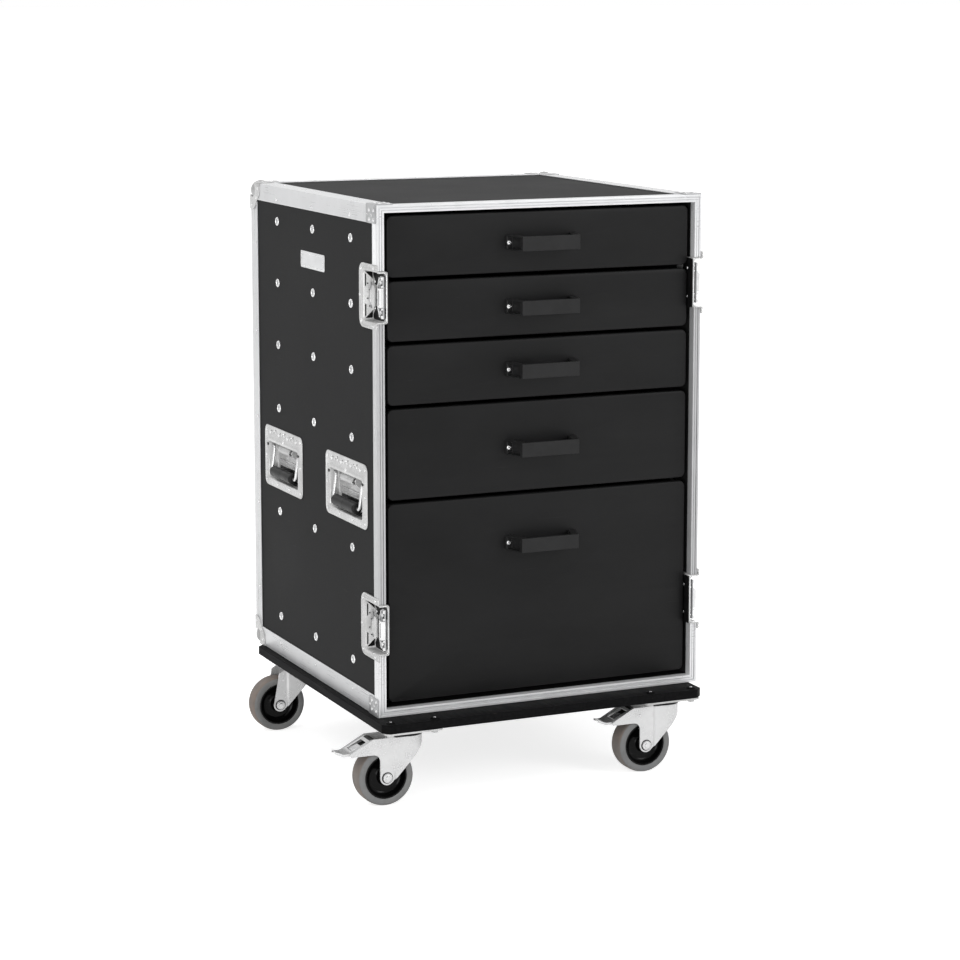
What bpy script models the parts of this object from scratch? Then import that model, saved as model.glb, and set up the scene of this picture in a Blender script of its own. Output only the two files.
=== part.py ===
"""Tool flight case on castors: five drawers in an aluminium-edged plywood body, without its front lid.

Lengths are in metres. The body's own frame has X to the right, Y to the rear and Z up, with its origin
in the middle of the front edge of its underside. The empty "case_frame" carries everything, and stands
so that the origin of the world lies on the floor, under the middle of the whole object.
"""
import math

import bmesh
import bpy

# Case body
CASE_WIDTH = 0.603
CASE_DEPTH = 0.612
CASE_HEIGHT = 0.860
PANEL_THICKNESS = 0.009
SEAT_GAP = 0.0003

# Aluminium extrusions
ANGLE_LEG = 0.034
ANGLE_WALL = 0.0015
FRAME_WALL = 0.0015
FRAME_SIDE_FLANGE = 0.026
FRAME_INNER_FLANGE = 0.016
FRAME_NOSE = 0.0035
FRAME_PANEL_SLACK = 0.0004
GROOVE_DEPTH = 0.0020
GROOVE_WIDTH = 0.0036
GROOVE_SLOPE = 0.0005

# Corner fittings
BALL_RADIUS = 0.0165
BALL_INSET = 0.0125
CORNER_REACH = 0.050
CORNER_SHEET = 0.0013
CORNER_NOTCH = 0.017
CORNER_BITE = 0.0003
BRACE_START = 0.0030
BRACE_LENGTH = 0.0410
BRACE_LEG = 0.0335

# Drawers, from the top down: the lowest one fills what is left
FRONT_1_HEIGHT = 0.102
FRONT_2_HEIGHT = 0.100
FRONT_3_HEIGHT = 0.100
FRONT_4_HEIGHT = 0.153
DRAWER_GAP = 0.0065
DRAWER_TOP_GAP = 0.006
DRAWER_BOTTOM_GAP = 0.0092
DRAWER_SIDE_GAP = 0.0085
DRAWER_RECESS = 0.010
DRAWER_FRONT_THICKNESS = 0.015
DRAWER_CORNER_RADIUS = 0.010
DRAWER_REAR_ROOM = 0.042
DRAWER_WALL = 0.009
DRAWER_FLOOR = 0.006
BOX_RISE = 0.004
BOX_DROP = 0.014
FRONT_EDGE_ROUND = 0.0015

# Drawer pulls
PULL_LENGTH = 0.132
PULL_HEIGHT = 0.0245
PULL_DEPTH = 0.042
PULL_BAR = 0.006
PULL_LEG = 0.013
PULL_SLOPE = 0.0130
PULL_POCKET_WIDTH = 0.0095
PULL_POCKET_FLOOR = 0.005
PULL_POCKET_MARGIN = 0.0022
LOWEST_PULL_DROP = 0.0807

# Drawer runners: the drawer member slides in the cabinet member, which stands on a spacer strip
RUNNER_1_DROP = 0.0435
RUNNER_2_DROP = 0.0455
RUNNER_3_DROP = 0.0510
RUNNER_4_DROP = 0.0600
RUNNER_5_DROP = 0.0900
RUNNER_HEIGHT = 0.0353
RUNNER_THICKNESS = 0.0127
RUNNER_SHEET = 0.0012
RUNNER_CLEARANCE = 0.0004
RUNNER_LIP = 0.0022
RUNNER_RETURN = 0.0050
RUNNER_START = 0.076
RUNNER_REAR_ROOM = 0.036
MEMBER_START = 0.004
SPACER_THICKNESS = 0.009
SPACER_HEIGHT = 0.044
SPACER_MARGIN = 0.002
WELD_BITE = 0.0003

# Large rivets in the side panels
RIVETS_FROM_FRONT = 0.1204
RIVETS_FROM_REAR = 0.1356
RIVETS_PAST_MIDDLE = 0.0009
LOWEST_RIVET_ROW = 0.0748
RIVET_RADIUS = 0.0070
RIVET_HEIGHT = 0.0022
RIVET_SIDES = 8

# Recessed side handles, between the two lowest rows of runners
HANDLES_FROM_FRONT = 0.1465
HANDLES_FROM_REAR = 0.1575
HANDLES_PAST_MIDDLE = 0.00125
HANDLE_FLANGE_WIDTH = 0.193
HANDLE_FLANGE_HEIGHT = 0.111
HANDLE_FLANGE_RADIUS = 0.013
HANDLE_POCKET_WIDTH = 0.150
HANDLE_POCKET_HEIGHT = 0.066
HANDLE_POCKET_RADIUS = 0.005
HANDLE_POCKET_DROP = 0.0075
HANDLE_DRAFT = 0.0030
DISH_SHEET = 0.0012
ROD_RADIUS = 0.0030
ROD_SIDES = 6
BAIL_WIDTH = 0.122
BAIL_DROP = 0.0435
BAIL_PIN_DEPTH = 0.0065
BAIL_BEND = 0.007
BAIL_TURN = 0.0028
GRIP_RADIUS = 0.0100
GRIP_LENGTH = 0.114
GRIP_EDGE = 0.0020
GRIP_SIDES = 12
GRIP_FLOOR_GAP = 0.0008

# Butterfly latches
LATCH_FROM_BOTTOM = 0.150
LATCH_FROM_TOP = 0.152
LATCH_FLANGE_HEIGHT = 0.1075
LATCH_FLANGE_BACK = 0.0817
LATCH_FRONT = -0.0035
LATCH_FLANGE_RADIUS = 0.016
LATCH_PAN_HEIGHT = 0.084
LATCH_PAN_BACK = 0.0690
LATCH_PAN_RADIUS = 0.006
LATCH_PAN_DEPTH = 0.0160
LATCH_CUT_MARGIN = 0.0006
LATCH_CENTRE_BACK = 0.037
LATCH_BOSS_RADIUS = 0.0110
LATCH_BOSS_HEIGHT = 0.0040
LATCH_PLAY = 0.0006
HOOK_SHEET = 0.0018
HOOK_FRONT_WIDTH = 0.070
HOOK_WAIST_WIDTH = 0.026
HOOK_TAIL_WIDTH = 0.048
HOOK_TAIL = 0.021
HOOK_LIP = 0.0050
HOOK_SHOULDER = 0.014
HOOK_TRAVEL = 0.008
DRUM_RADIUS = 0.015
DRUM_SHEET = 0.0018
DRUM_SHAFT_RADIUS = 0.0045
DRUM_SHAFT_CLEARANCE = 0.0006
LUG_RADIUS = 0.0024
LUG_WIDTH = 0.0028
KNUCKLE_LENGTH = 0.0200
WING_LENGTH = 0.038
WING_REACH = 0.0185
WING_SHEET = 0.0026
WING_CORNER = 0.005

# Castor board, placed from the body as the photograph shows it
BOARD_THICKNESS = 0.015
BOARD_CHAMFER = 0.011
BOARD_LEFT_OVERHANG = 0.012
BOARD_RIGHT_INSET = 0.013
BOARD_FRONT_LEDGE = 0.050
BOARD_REAR_INSET = 0.035

# Castors
CASTOR_HEIGHT = 0.130
CASTOR_SIDE_INSET = 0.057
CASTOR_FRONT_INSET = 0.0435
CASTOR_REAR_INSET = 0.0660
PLATE_LENGTH = 0.105
PLATE_WIDTH = 0.085
PLATE_THICKNESS = 0.003
PLATE_CORNER_RADIUS = 0.008
BOLT_PITCH_X = 0.080
BOLT_PITCH_Y = 0.060
BOLT_HEAD_RADIUS = 0.0080
BOLT_HEAD_HEIGHT = 0.0028
NUT_RADIUS = 0.0065
NUT_HEIGHT = 0.0050
RACE_RADIUS = 0.0262
RACE_DEPTH = 0.0046
KINGPIN_RADIUS = 0.0060
KINGPIN_HEAD_RADIUS = 0.0100
KINGPIN_HEAD = 0.0035
SWIVEL_GAP = 0.0004
TRAIL = 0.043
FORK_SHEET = 0.0025
FORK_LEG_GAP = 0.0390
CROWN_RADIUS = 0.0270
CREASE_FORWARD = 0.010
LEG_HALF_FOOT = 0.0125
ARM_UNDERSIDE = 0.0417
ARM_TIP = 0.0670
ARM_TIP_RISE = 0.0050
ARM_SHOULDER = 0.0256
ARM_SHOULDER_HEIGHT = 0.0672
ARM_FILLET = 0.0125
NOSE_DEPTH = 0.0150
CROWN_OPENING = 0.0030
AXLE_RADIUS = 0.0060
AXLE_CLEARANCE = 0.0004
AXLE_HEAD_RADIUS = 0.0085
AXLE_HEAD = 0.0045
WHEEL_RADIUS = 0.050
WHEEL_WIDTH = 0.035
WHEEL_SIDES = 20
TREAD_SHOULDER = 0.0045
TREAD_CROWN = 0.0012
HUB_RADIUS = 0.0380
HUB_WIDTH = 0.0330
HUB_RIM = 0.0035
HUB_WEB = 0.0100
HUB_BOSS_RADIUS = 0.0130
HUB_SIDE_PLAY = 0.0006

# Brake pedals of the front castors
PEDAL_REACH = 0.088
PEDAL_TIP_RISE = 0.0520
PEDAL_LIP_START = 0.0660
PEDAL_LIP_LOW = 0.0450
PEDAL_SHEET = 0.0022
PEDAL_SIDE_PLAY = 0.0006
PEDAL_PIVOT_BACK = 0.0134
PEDAL_PIVOT_HEIGHT = 0.0575
PEDAL_BOSS = 0.0042
PEDAL_WINDOW_WIDTH = 0.020
PEDAL_WINDOW_LENGTH = 0.014
PEDAL_CORNER = 0.009

# Derived places in the body's frame
HALF_WIDTH = CASE_WIDTH / 2
PANEL_OUTSIDE = HALF_WIDTH - ANGLE_WALL - SEAT_GAP
PANEL_INSIDE = PANEL_OUTSIDE - PANEL_THICKNESS
FRAME_FACE = FRAME_WALL + PANEL_THICKNESS + 2 * SEAT_GAP + FRAME_PANEL_SLACK + FRAME_WALL
HANDLE_POCKET_DEPTH = BAIL_PIN_DEPTH + GRIP_RADIUS + GRIP_FLOOR_GAP
LATCH_HALF_CUT = LATCH_PAN_HEIGHT / 2 + DISH_SHEET + LATCH_CUT_MARGIN
LATCH_CUT_BACK = LATCH_PAN_BACK + DISH_SHEET + LATCH_CUT_MARGIN
MOUTH_HALF_WIDTH = HALF_WIDTH - FRAME_FACE
MOUTH_LOW = FRAME_FACE
MOUTH_HIGH = CASE_HEIGHT - FRAME_FACE
PANEL_FRONT = FRAME_NOSE + SEAT_GAP
PANEL_EDGE = ANGLE_WALL + SEAT_GAP
FRONT_HALF_WIDTH = MOUTH_HALF_WIDTH - DRAWER_SIDE_GAP
SPACER_INSIDE = PANEL_INSIDE - SPACER_THICKNESS
BOX_HALF_WIDTH = SPACER_INSIDE - RUNNER_THICKNESS
UPPER_FRONT_HEIGHTS = (FRONT_1_HEIGHT, FRONT_2_HEIGHT, FRONT_3_HEIGHT, FRONT_4_HEIGHT)
DRAWER_BACK_OF_FRONT = DRAWER_RECESS + DRAWER_FRONT_THICKNESS
DRAWER_REAR = CASE_DEPTH - DRAWER_REAR_ROOM
RUNNER_DROPS = (RUNNER_1_DROP, RUNNER_2_DROP, RUNNER_3_DROP, RUNNER_4_DROP, RUNNER_5_DROP)
RUNNER_REAR = CASE_DEPTH - RUNNER_REAR_ROOM
LAST_RIVETS = CASE_DEPTH - RIVETS_FROM_REAR
MIDDLE_RIVETS = (RIVETS_FROM_FRONT + LAST_RIVETS) / 2 + RIVETS_PAST_MIDDLE
RIVET_COLUMNS = (RIVETS_FROM_FRONT, MIDDLE_RIVETS, LAST_RIVETS)
HANDLE_COLUMNS = (HANDLES_FROM_FRONT, CASE_DEPTH - HANDLES_FROM_REAR)
LATCH_LEVELS = (LATCH_FROM_BOTTOM, CASE_HEIGHT - LATCH_FROM_TOP)
BOARD_TOP = -SEAT_GAP
BOARD_UNDERSIDE = BOARD_TOP - BOARD_THICKNESS
PLATE_TOP = BOARD_UNDERSIDE - SEAT_GAP
FLOOR = PLATE_TOP - CASTOR_HEIGHT
BOARD_LEFT = -HALF_WIDTH - BOARD_LEFT_OVERHANG
BOARD_RIGHT = HALF_WIDTH - BOARD_RIGHT_INSET
BOARD_FRONT = -BOARD_FRONT_LEDGE
BOARD_REAR = CASE_DEPTH - BOARD_REAR_INSET
CASTOR_LEFT = BOARD_LEFT + CASTOR_SIDE_INSET
CASTOR_RIGHT = BOARD_RIGHT - CASTOR_SIDE_INSET
CASTOR_FRONT = BOARD_FRONT + CASTOR_FRONT_INSET
CASTOR_REAR = BOARD_REAR - CASTOR_REAR_INSET
CASTORS = (
    ("front_left", CASTOR_LEFT, CASTOR_FRONT, True),
    ("front_right", CASTOR_RIGHT, CASTOR_FRONT, True),
    ("rear_left", CASTOR_LEFT, CASTOR_REAR, False),
    ("rear_right", CASTOR_RIGHT, CASTOR_REAR, False),
)
SIDES = (("left", -1), ("right", 1))

# The whole object's reach, which places its middle over the origin
BALL_PROUD = BALL_RADIUS - BALL_INSET
LEFT_REACH = CASTOR_LEFT - TRAIL - PEDAL_REACH
RIGHT_REACH = HALF_WIDTH + BALL_PROUD
FRONT_REACH = BOARD_FRONT
REAR_REACH = CASE_DEPTH + BALL_PROUD
FRAME_PLACE = (-(LEFT_REACH + RIGHT_REACH) / 2, -(FRONT_REACH + REAR_REACH) / 2, -FLOOR)

# Colours (red, green, blue), roughness and metallic value of each finish
FINISHES = {
    "laminate": ((0.045, 0.045, 0.046), 0.55, 0.0),
    "drawer_black": ((0.030, 0.030, 0.031), 0.45, 0.0),
    "aluminium": ((0.72, 0.73, 0.74), 0.32, 1.0),
    "zinc": ((0.66, 0.67, 0.68), 0.35, 1.0),
    "steel": ((0.60, 0.61, 0.62), 0.30, 1.0),
    "board_black": ((0.018, 0.018, 0.019), 0.60, 0.0),
    "black_plastic": ((0.012, 0.012, 0.013), 0.35, 0.0),
    "rubber_grey": ((0.20, 0.195, 0.19), 0.75, 0.0),
}


def clear_scene():
    """Takes the objects of the open scene away."""
    for found in list(bpy.data.objects):
        bpy.data.objects.remove(found, do_unlink=True)


def finish(name):
    """The Principled material of one finish."""
    material = bpy.data.materials.get(name)
    if material is None:
        colour, roughness, metallic = FINISHES[name]
        material = bpy.data.materials.new(name)
        material.use_nodes = True
        shader = material.node_tree.nodes["Principled BSDF"]
        shader.inputs["Base Color"].default_value = (*colour, 1.0)
        shader.inputs["Roughness"].default_value = roughness
        shader.inputs["Metallic"].default_value = metallic
        material.diffuse_color = (*colour, 1.0)
    return material


# Building blocks: each adds one closed body to a bmesh

def spot(axis, a, b, along):
    """A point from its place in the plane across an axis and its place along it."""
    if axis == "X":
        return (along, a, b)
    if axis == "Y":
        return (a, along, b)
    return (a, b, along)


def add_loft(bm, loops):
    """Skins a row of point loops with the same count and closes both ends."""
    rings = [[bm.verts.new(point) for point in loop] for loop in loops]
    count = len(rings[0])
    for near, far in zip(rings, rings[1:]):
        for i in range(count):
            j = (i + 1) % count
            bm.faces.new((near[i], near[j], far[j], far[i]))
    bm.faces.new(rings[0])
    bm.faces.new(rings[-1])


def add_prism(bm, outline, axis, start, end):
    """Extrudes an outline along an axis."""
    add_loft(bm, [[spot(axis, a, b, along) for a, b in outline] for along in (start, end)])


def add_box(bm, low, high):
    """A box between two corners."""
    outline = ((low[0], low[1]), (high[0], low[1]), (high[0], high[1]), (low[0], high[1]))
    add_prism(bm, outline, "Z", low[2], high[2])


def add_disc(bm, axis, centre, radius, start, end, sides, turn=0.0):
    """A straight cylinder about an axis."""
    outline = circle(centre[0], centre[1], radius, sides, turn)
    add_prism(bm, outline, axis, start, end)


def add_lathe_ring(bm, profile, axis, centre, sides):
    """Turns a closed profile of (radius, along) points about an axis, flats facing down."""
    turn = math.pi / sides
    rings = []
    for i in range(sides):
        angle = 2 * math.pi * i / sides + turn
        ring = []
        for radius, along in profile:
            a = centre[0] + radius * math.cos(angle)
            b = centre[1] + radius * math.sin(angle)
            ring.append(bm.verts.new(spot(axis, a, b, along)))
        rings.append(ring)
    for i in range(sides):
        near, far = rings[i], rings[(i + 1) % sides]
        for j in range(len(profile)):
            k = (j + 1) % len(profile)
            bm.faces.new((near[j], near[k], far[k], far[j]))


def circle(a, b, radius, sides, turn=0.0):
    """Points of a circle in a plane."""
    angles = [2 * math.pi * i / sides + turn for i in range(sides)]
    return [(a + radius * math.cos(t), b + radius * math.sin(t)) for t in angles]


def arc(a, b, radius, first, last, steps):
    """Points of an arc from one angle to another, in degrees."""
    angles = [math.radians(first + (last - first) * i / steps) for i in range(steps + 1)]
    return [(a + radius * math.cos(t), b + radius * math.sin(t)) for t in angles]


def rounded_rectangle(low, high, radius, steps=2):
    """Outline of a rectangle with rounded corners, counter-clockwise from its lower right."""
    points = arc(high[0] - radius, low[1] + radius, radius, -90, 0, steps)
    points += arc(high[0] - radius, high[1] - radius, radius, 0, 90, steps)
    points += arc(low[0] + radius, high[1] - radius, radius, 90, 180, steps)
    points += arc(low[0] + radius, low[1] + radius, radius, 180, 270, steps)
    return points


def mesh_from(bm, name):
    """Turns a bmesh into a mesh with its faces pointing out and round parts smooth."""
    bmesh.ops.recalc_face_normals(bm, faces=bm.faces)
    mesh = bpy.data.meshes.new(name)
    bm.to_mesh(mesh)
    bm.free()
    mesh.shade_smooth()
    mesh.set_sharp_from_angle(angle=math.radians(32))
    return mesh


def combine(mesh, tool, operation):
    """Cuts, joins or intersects a mesh with a tool mesh and returns the result."""
    body = bpy.data.objects.new("body", mesh)
    cutter = bpy.data.objects.new("cutter", tool)
    for thing in (body, cutter):
        bpy.context.scene.collection.objects.link(thing)
    modifier = body.modifiers.new("combine", "BOOLEAN")
    modifier.solver = "EXACT"
    modifier.operation = operation
    modifier.object = cutter
    shaped = body.evaluated_get(bpy.context.evaluated_depsgraph_get())
    result = bpy.data.meshes.new_from_object(shaped)
    result.name = mesh.name
    for thing in (body, cutter):
        bpy.data.objects.remove(thing, do_unlink=True)
    result.shade_smooth()
    result.set_sharp_from_angle(angle=math.radians(32))
    return result


def place(name, mesh, finish_name, parent, location=(0.0, 0.0, 0.0)):
    """Puts a mesh in the scene as a named piece with its finish."""
    piece = bpy.data.objects.new(name, mesh)
    bpy.context.scene.collection.objects.link(piece)
    piece.parent = parent
    piece.location = location
    mesh.name = name
    mesh.materials.clear()
    mesh.materials.append(finish(finish_name))
    return piece


def union(meshes):
    """Joins overlapping bodies, one after the other, into the first."""
    result = meshes[0]
    for extra in meshes[1:]:
        result = combine(result, extra, "UNION")
    return result


# Layout shared by several pieces

def front_spans():
    """Lower and upper edge of each drawer front, from the top down."""
    spans = []
    top = MOUTH_HIGH - DRAWER_TOP_GAP
    for height in UPPER_FRONT_HEIGHTS:
        spans.append((top - height, top))
        top -= height + DRAWER_GAP
    spans.append((MOUTH_LOW + DRAWER_BOTTOM_GAP, top))
    return spans


def runner_levels():
    """Height of each runner's middle line, which its rivets share."""
    return [span[1] - drop for span, drop in zip(front_spans(), RUNNER_DROPS)]


def handle_level():
    """Height of the side handles, halfway between the two lowest runners but for a named shift."""
    levels = runner_levels()
    return (levels[-2] + levels[-1]) / 2 + HANDLES_PAST_MIDDLE


def side_point(side, outward, back, up):
    """A point near a side of the case, measured outward from the extrusions' face."""
    return (side * (HALF_WIDTH + outward), back, up)


def handle_places():
    """Name, side and column of each recessed handle."""
    columns = list(zip(("front", "rear"), HANDLE_COLUMNS))
    return [(f"{row}_{side_name}", side, back) for side_name, side in SIDES for row, back in columns]


def latch_places():
    """Name, side and level of each latch."""
    levels = list(zip(("lower", "upper"), LATCH_LEVELS))
    return [(f"{row}_{side_name}", side, up) for side_name, side in SIDES for row, up in levels]


# Case body

def across(side, near, far):
    """Two distances from the body's middle plane, in rising order on one side."""
    return sorted((side * near, side * far))


def cut_outs(side):
    """A tool that opens a side panel for its handle dishes and latch pans."""
    bm = bmesh.new()
    low_x, high_x = across(side, PANEL_INSIDE - PANEL_THICKNESS, HALF_WIDTH + PANEL_THICKNESS)
    half_w = HANDLE_POCKET_WIDTH / 2 + DISH_SHEET + SEAT_GAP
    half_h = HANDLE_POCKET_HEIGHT / 2 + DISH_SHEET + SEAT_GAP
    middle = handle_level() - HANDLE_POCKET_DROP
    for back in HANDLE_COLUMNS:
        add_box(bm, (low_x, back - half_w, middle - half_h), (high_x, back + half_w, middle + half_h))
    for level in LATCH_LEVELS:
        low = (low_x, -PANEL_THICKNESS, level - LATCH_HALF_CUT)
        add_box(bm, low, (high_x, LATCH_CUT_BACK, level + LATCH_HALF_CUT))
    return mesh_from(bm, "side_cut_outs")


def side_rivets(side):
    """Domed heads of the large rivets on one side panel, sunk a little into it."""
    bm = bmesh.new()
    steps = ((-WELD_BITE, 1.0), (0.5 * RIVET_HEIGHT, 0.85), (RIVET_HEIGHT, 0.40))
    for up in runner_levels() + [LOWEST_RIVET_ROW]:
        for back in RIVET_COLUMNS:
            loops = []
            for rise, share in steps:
                points = circle(back, up, share * RIVET_RADIUS, RIVET_SIDES)
                loops.append([(side * (PANEL_OUTSIDE + rise), a, b) for a, b in points])
            add_loft(bm, loops)
    return mesh_from(bm, "side_rivets")


def side_runners(side):
    """Spacer strips on the inside of a side panel, and the cabinet members on them."""
    strips = bmesh.new()
    members = bmesh.new()
    half = SPACER_HEIGHT / 2
    low_x, high_x = across(side, SPACER_INSIDE, PANEL_INSIDE + WELD_BITE)
    end = RUNNER_REAR
    for level in runner_levels():
        low = (low_x, RUNNER_START - SPACER_MARGIN, level - half)
        add_box(strips, low, (high_x, end + SPACER_MARGIN, level + half))
        add_prism(members, cabinet_section(side, level), "Y", RUNNER_START, end)
    return mesh_from(strips, "spacer_strips"), mesh_from(members, "cabinet_members")


def make_panels(root):
    """Five plywood panels; the sides carry the rivets, spacer strips and cabinet members."""
    back_outside = CASE_DEPTH - PANEL_EDGE
    between = PANEL_INSIDE - SEAT_GAP
    for side_name, side in SIDES:
        bm = bmesh.new()
        low_x, high_x = across(side, PANEL_INSIDE, PANEL_OUTSIDE)
        low = (low_x, PANEL_FRONT, PANEL_EDGE)
        add_box(bm, low, (high_x, back_outside, CASE_HEIGHT - PANEL_EDGE))
        panel = combine(mesh_from(bm, "panel"), cut_outs(side), "DIFFERENCE")
        mesh = union([panel, *side_runners(side), side_rivets(side)])
        place(f"{side_name}_side_panel", mesh, "laminate", root)
    panel_rear = back_outside - PANEL_THICKNESS - SEAT_GAP
    top = CASE_HEIGHT - PANEL_EDGE - PANEL_THICKNESS
    for name, low_z in (("bottom_panel", PANEL_EDGE), ("top_panel", top)):
        bm = bmesh.new()
        add_box(bm, (-between, PANEL_FRONT, low_z), (between, panel_rear, low_z + PANEL_THICKNESS))
        place(name, mesh_from(bm, name), "laminate", root)
    bm = bmesh.new()
    low = (-between, back_outside - PANEL_THICKNESS, PANEL_EDGE)
    add_box(bm, low, (between, back_outside, CASE_HEIGHT - PANEL_EDGE))
    place("back_panel", mesh_from(bm, "back_panel"), "laminate", root)


def frame_profile():
    """Section of the front frame: distance in from the case's outer edge, and depth."""
    groove_start = (FRAME_FACE - GROOVE_WIDTH) / 2
    groove_end = groove_start + GROOVE_WIDTH
    return (
        (0.0, 0.0),
        (groove_start - GROOVE_SLOPE, 0.0),
        (groove_start, GROOVE_DEPTH),
        (groove_end, GROOVE_DEPTH),
        (groove_end + GROOVE_SLOPE, 0.0),
        (FRAME_FACE, 0.0),
        (FRAME_FACE, FRAME_INNER_FLANGE),
        (FRAME_FACE - FRAME_WALL, FRAME_INNER_FLANGE),
        (FRAME_FACE - FRAME_WALL, FRAME_NOSE),
        (FRAME_WALL, FRAME_NOSE),
        (FRAME_WALL, FRAME_SIDE_FLANGE),
        (0.0, FRAME_SIDE_FLANGE),
    )


def frame_ring():
    """The front extrusion swept round the mouth of the case, mitred at its corners."""
    bm = bmesh.new()
    loops = []
    for side, top in ((-1, False), (1, False), (1, True), (-1, True)):
        loop = []
        for inset, depth in frame_profile():
            z = CASE_HEIGHT - inset if top else inset
            loop.append(bm.verts.new((side * (HALF_WIDTH - inset), depth, z)))
        loops.append(loop)
    for near, far in zip(loops, loops[1:] + loops[:1]):
        for i in range(len(near)):
            j = (i + 1) % len(near)
            bm.faces.new((near[i], near[j], far[j], far[i]))
    return mesh_from(bm, "frame_ring")


def make_front_frame(root):
    """The front frame in four lengths, parted where the latches sit."""
    lower, upper = LATCH_LEVELS
    wide = CASE_WIDTH
    deep = 2 * FRAME_SIDE_FLANGE
    spans = (
        ("top", -wide, wide, upper + LATCH_HALF_CUT, 2 * CASE_HEIGHT),
        ("bottom", -wide, wide, -CASE_HEIGHT, lower - LATCH_HALF_CUT),
        ("left", -wide, 0.0, lower + LATCH_HALF_CUT, upper - LATCH_HALF_CUT),
        ("right", 0.0, wide, lower + LATCH_HALF_CUT, upper - LATCH_HALF_CUT),
    )
    for name, low_x, high_x, low_z, high_z in spans:
        tool = bmesh.new()
        add_box(tool, (low_x, -deep, low_z), (high_x, deep, high_z))
        mesh = combine(frame_ring(), mesh_from(tool, "span"), "INTERSECT")
        place(f"front_frame_{name}", mesh, "aluminium", root)


def angle_outline(corner, directions, leg, wall):
    """Outline of an angle section from its outer corner and the way its two legs run."""
    (a, b), (da, db) = corner, directions
    return (
        (a, b),
        (a + da * leg, b),
        (a + da * leg, b + db * wall),
        (a + da * wall, b + db * wall),
        (a + da * wall, b + db * leg),
        (a, b + db * leg),
    )


def edge_rails():
    """Side rails, rear uprights and rear cross rails, cut short at the ball corners."""
    rails = bmesh.new()
    front = FRAME_SIDE_FLANGE + SEAT_GAP
    short = ANGLE_LEG + SEAT_GAP
    for _, side in SIDES:
        for z, up in ((0.0, 1), (CASE_HEIGHT, -1)):
            outline = angle_outline((side * HALF_WIDTH, z), (-side, up), ANGLE_LEG, ANGLE_WALL)
            add_prism(rails, outline, "Y", front, CASE_DEPTH - short)
        outline = angle_outline((side * HALF_WIDTH, CASE_DEPTH), (-side, -1), ANGLE_LEG, ANGLE_WALL)
        add_prism(rails, outline, "Z", short, CASE_HEIGHT - short)
    for z, up in ((0.0, 1), (CASE_HEIGHT, -1)):
        outline = angle_outline((CASE_DEPTH, z), (-1, up), ANGLE_LEG, ANGLE_WALL)
        add_prism(rails, outline, "X", -HALF_WIDTH + short, HALF_WIDTH - short)
    return mesh_from(rails, "edge_rails")


def corner_block(corner, directions, start, end):
    """A box set out from a corner of the case inward, along the three edges that meet there."""
    lows, highs = [], []
    for origin, outward, near, far in zip(corner, directions, start, end):
        pair = sorted((origin - outward * near, origin - outward * far))
        lows.append(pair[0])
        highs.append(pair[1])
    bm = bmesh.new()
    add_box(bm, lows, highs)
    return mesh_from(bm, "corner_block")


def corner_mesh(corner, directions):
    """One pressed ball corner: three tapering plates over the extrusions and a ball on the point."""
    skin = CORNER_SHEET - CORNER_BITE
    plates = corner_block(corner, directions, (-skin,) * 3, (CORNER_REACH,) * 3)
    tool = bmesh.new()
    bmesh.ops.create_uvsphere(tool, u_segments=12, v_segments=8, radius=BALL_RADIUS)
    middle = [origin - outward * BALL_INSET for origin, outward in zip(corner, directions)]
    bmesh.ops.translate(tool, verts=tool.verts, vec=middle)
    plates = combine(plates, mesh_from(tool, "ball"), "UNION")
    inside = corner_block(corner, directions, (CORNER_BITE,) * 3, (2 * CORNER_REACH,) * 3)
    plates = combine(plates, inside, "DIFFERENCE")
    for axis in range(3):
        start = [CORNER_REACH - CORNER_NOTCH] * 3
        start[axis] = -2 * skin
        end = [2 * CORNER_REACH] * 3
        end[axis] = 2 * CORNER_BITE
        plates = combine(plates, corner_block(corner, directions, start, end), "DIFFERENCE")
    return plates


def brace_mesh(side, z, up):
    """A pressed angle over the joint of the front frame and a side rail, joined to the rail."""
    outer = CORNER_SHEET + SEAT_GAP
    corner = (side * (HALF_WIDTH + outer), z - up * outer)
    bm = bmesh.new()
    outline = angle_outline(corner, (-side, up), BRACE_LEG, CORNER_SHEET)
    add_prism(bm, outline, "Y", BRACE_START, BRACE_START + BRACE_LENGTH)
    plate = mesh_from(bm, "brace")
    bm = bmesh.new()
    outline = angle_outline(corner, (-side, up), BRACE_LEG, outer + CORNER_BITE)
    add_prism(bm, outline, "Y", FRAME_SIDE_FLANGE + 2 * SEAT_GAP, BRACE_START + BRACE_LENGTH)
    return combine(plate, mesh_from(bm, "brace_seat"), "UNION")


def make_edge_angles(root):
    """The rails with their four ball corners and four front braces riveted on."""
    parts = [edge_rails()]
    for _, side in SIDES:
        for z, up in ((0.0, -1), (CASE_HEIGHT, 1)):
            parts.append(corner_mesh((side * HALF_WIDTH, CASE_DEPTH, z), (side, 1, up)))
            parts.append(brace_mesh(side, z, -up))
    bm = bmesh.new()
    low = (BOARD_LEFT - SEAT_GAP, BOARD_FRONT, FLOOR)
    add_box(bm, low, (BOARD_RIGHT + SEAT_GAP, BOARD_REAR + SEAT_GAP, 0.0))
    trimmed = combine(union(parts), mesh_from(bm, "board_seat"), "DIFFERENCE")
    place("edge_angles", trimmed, "aluminium", root)


# Drawers and runners

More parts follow.
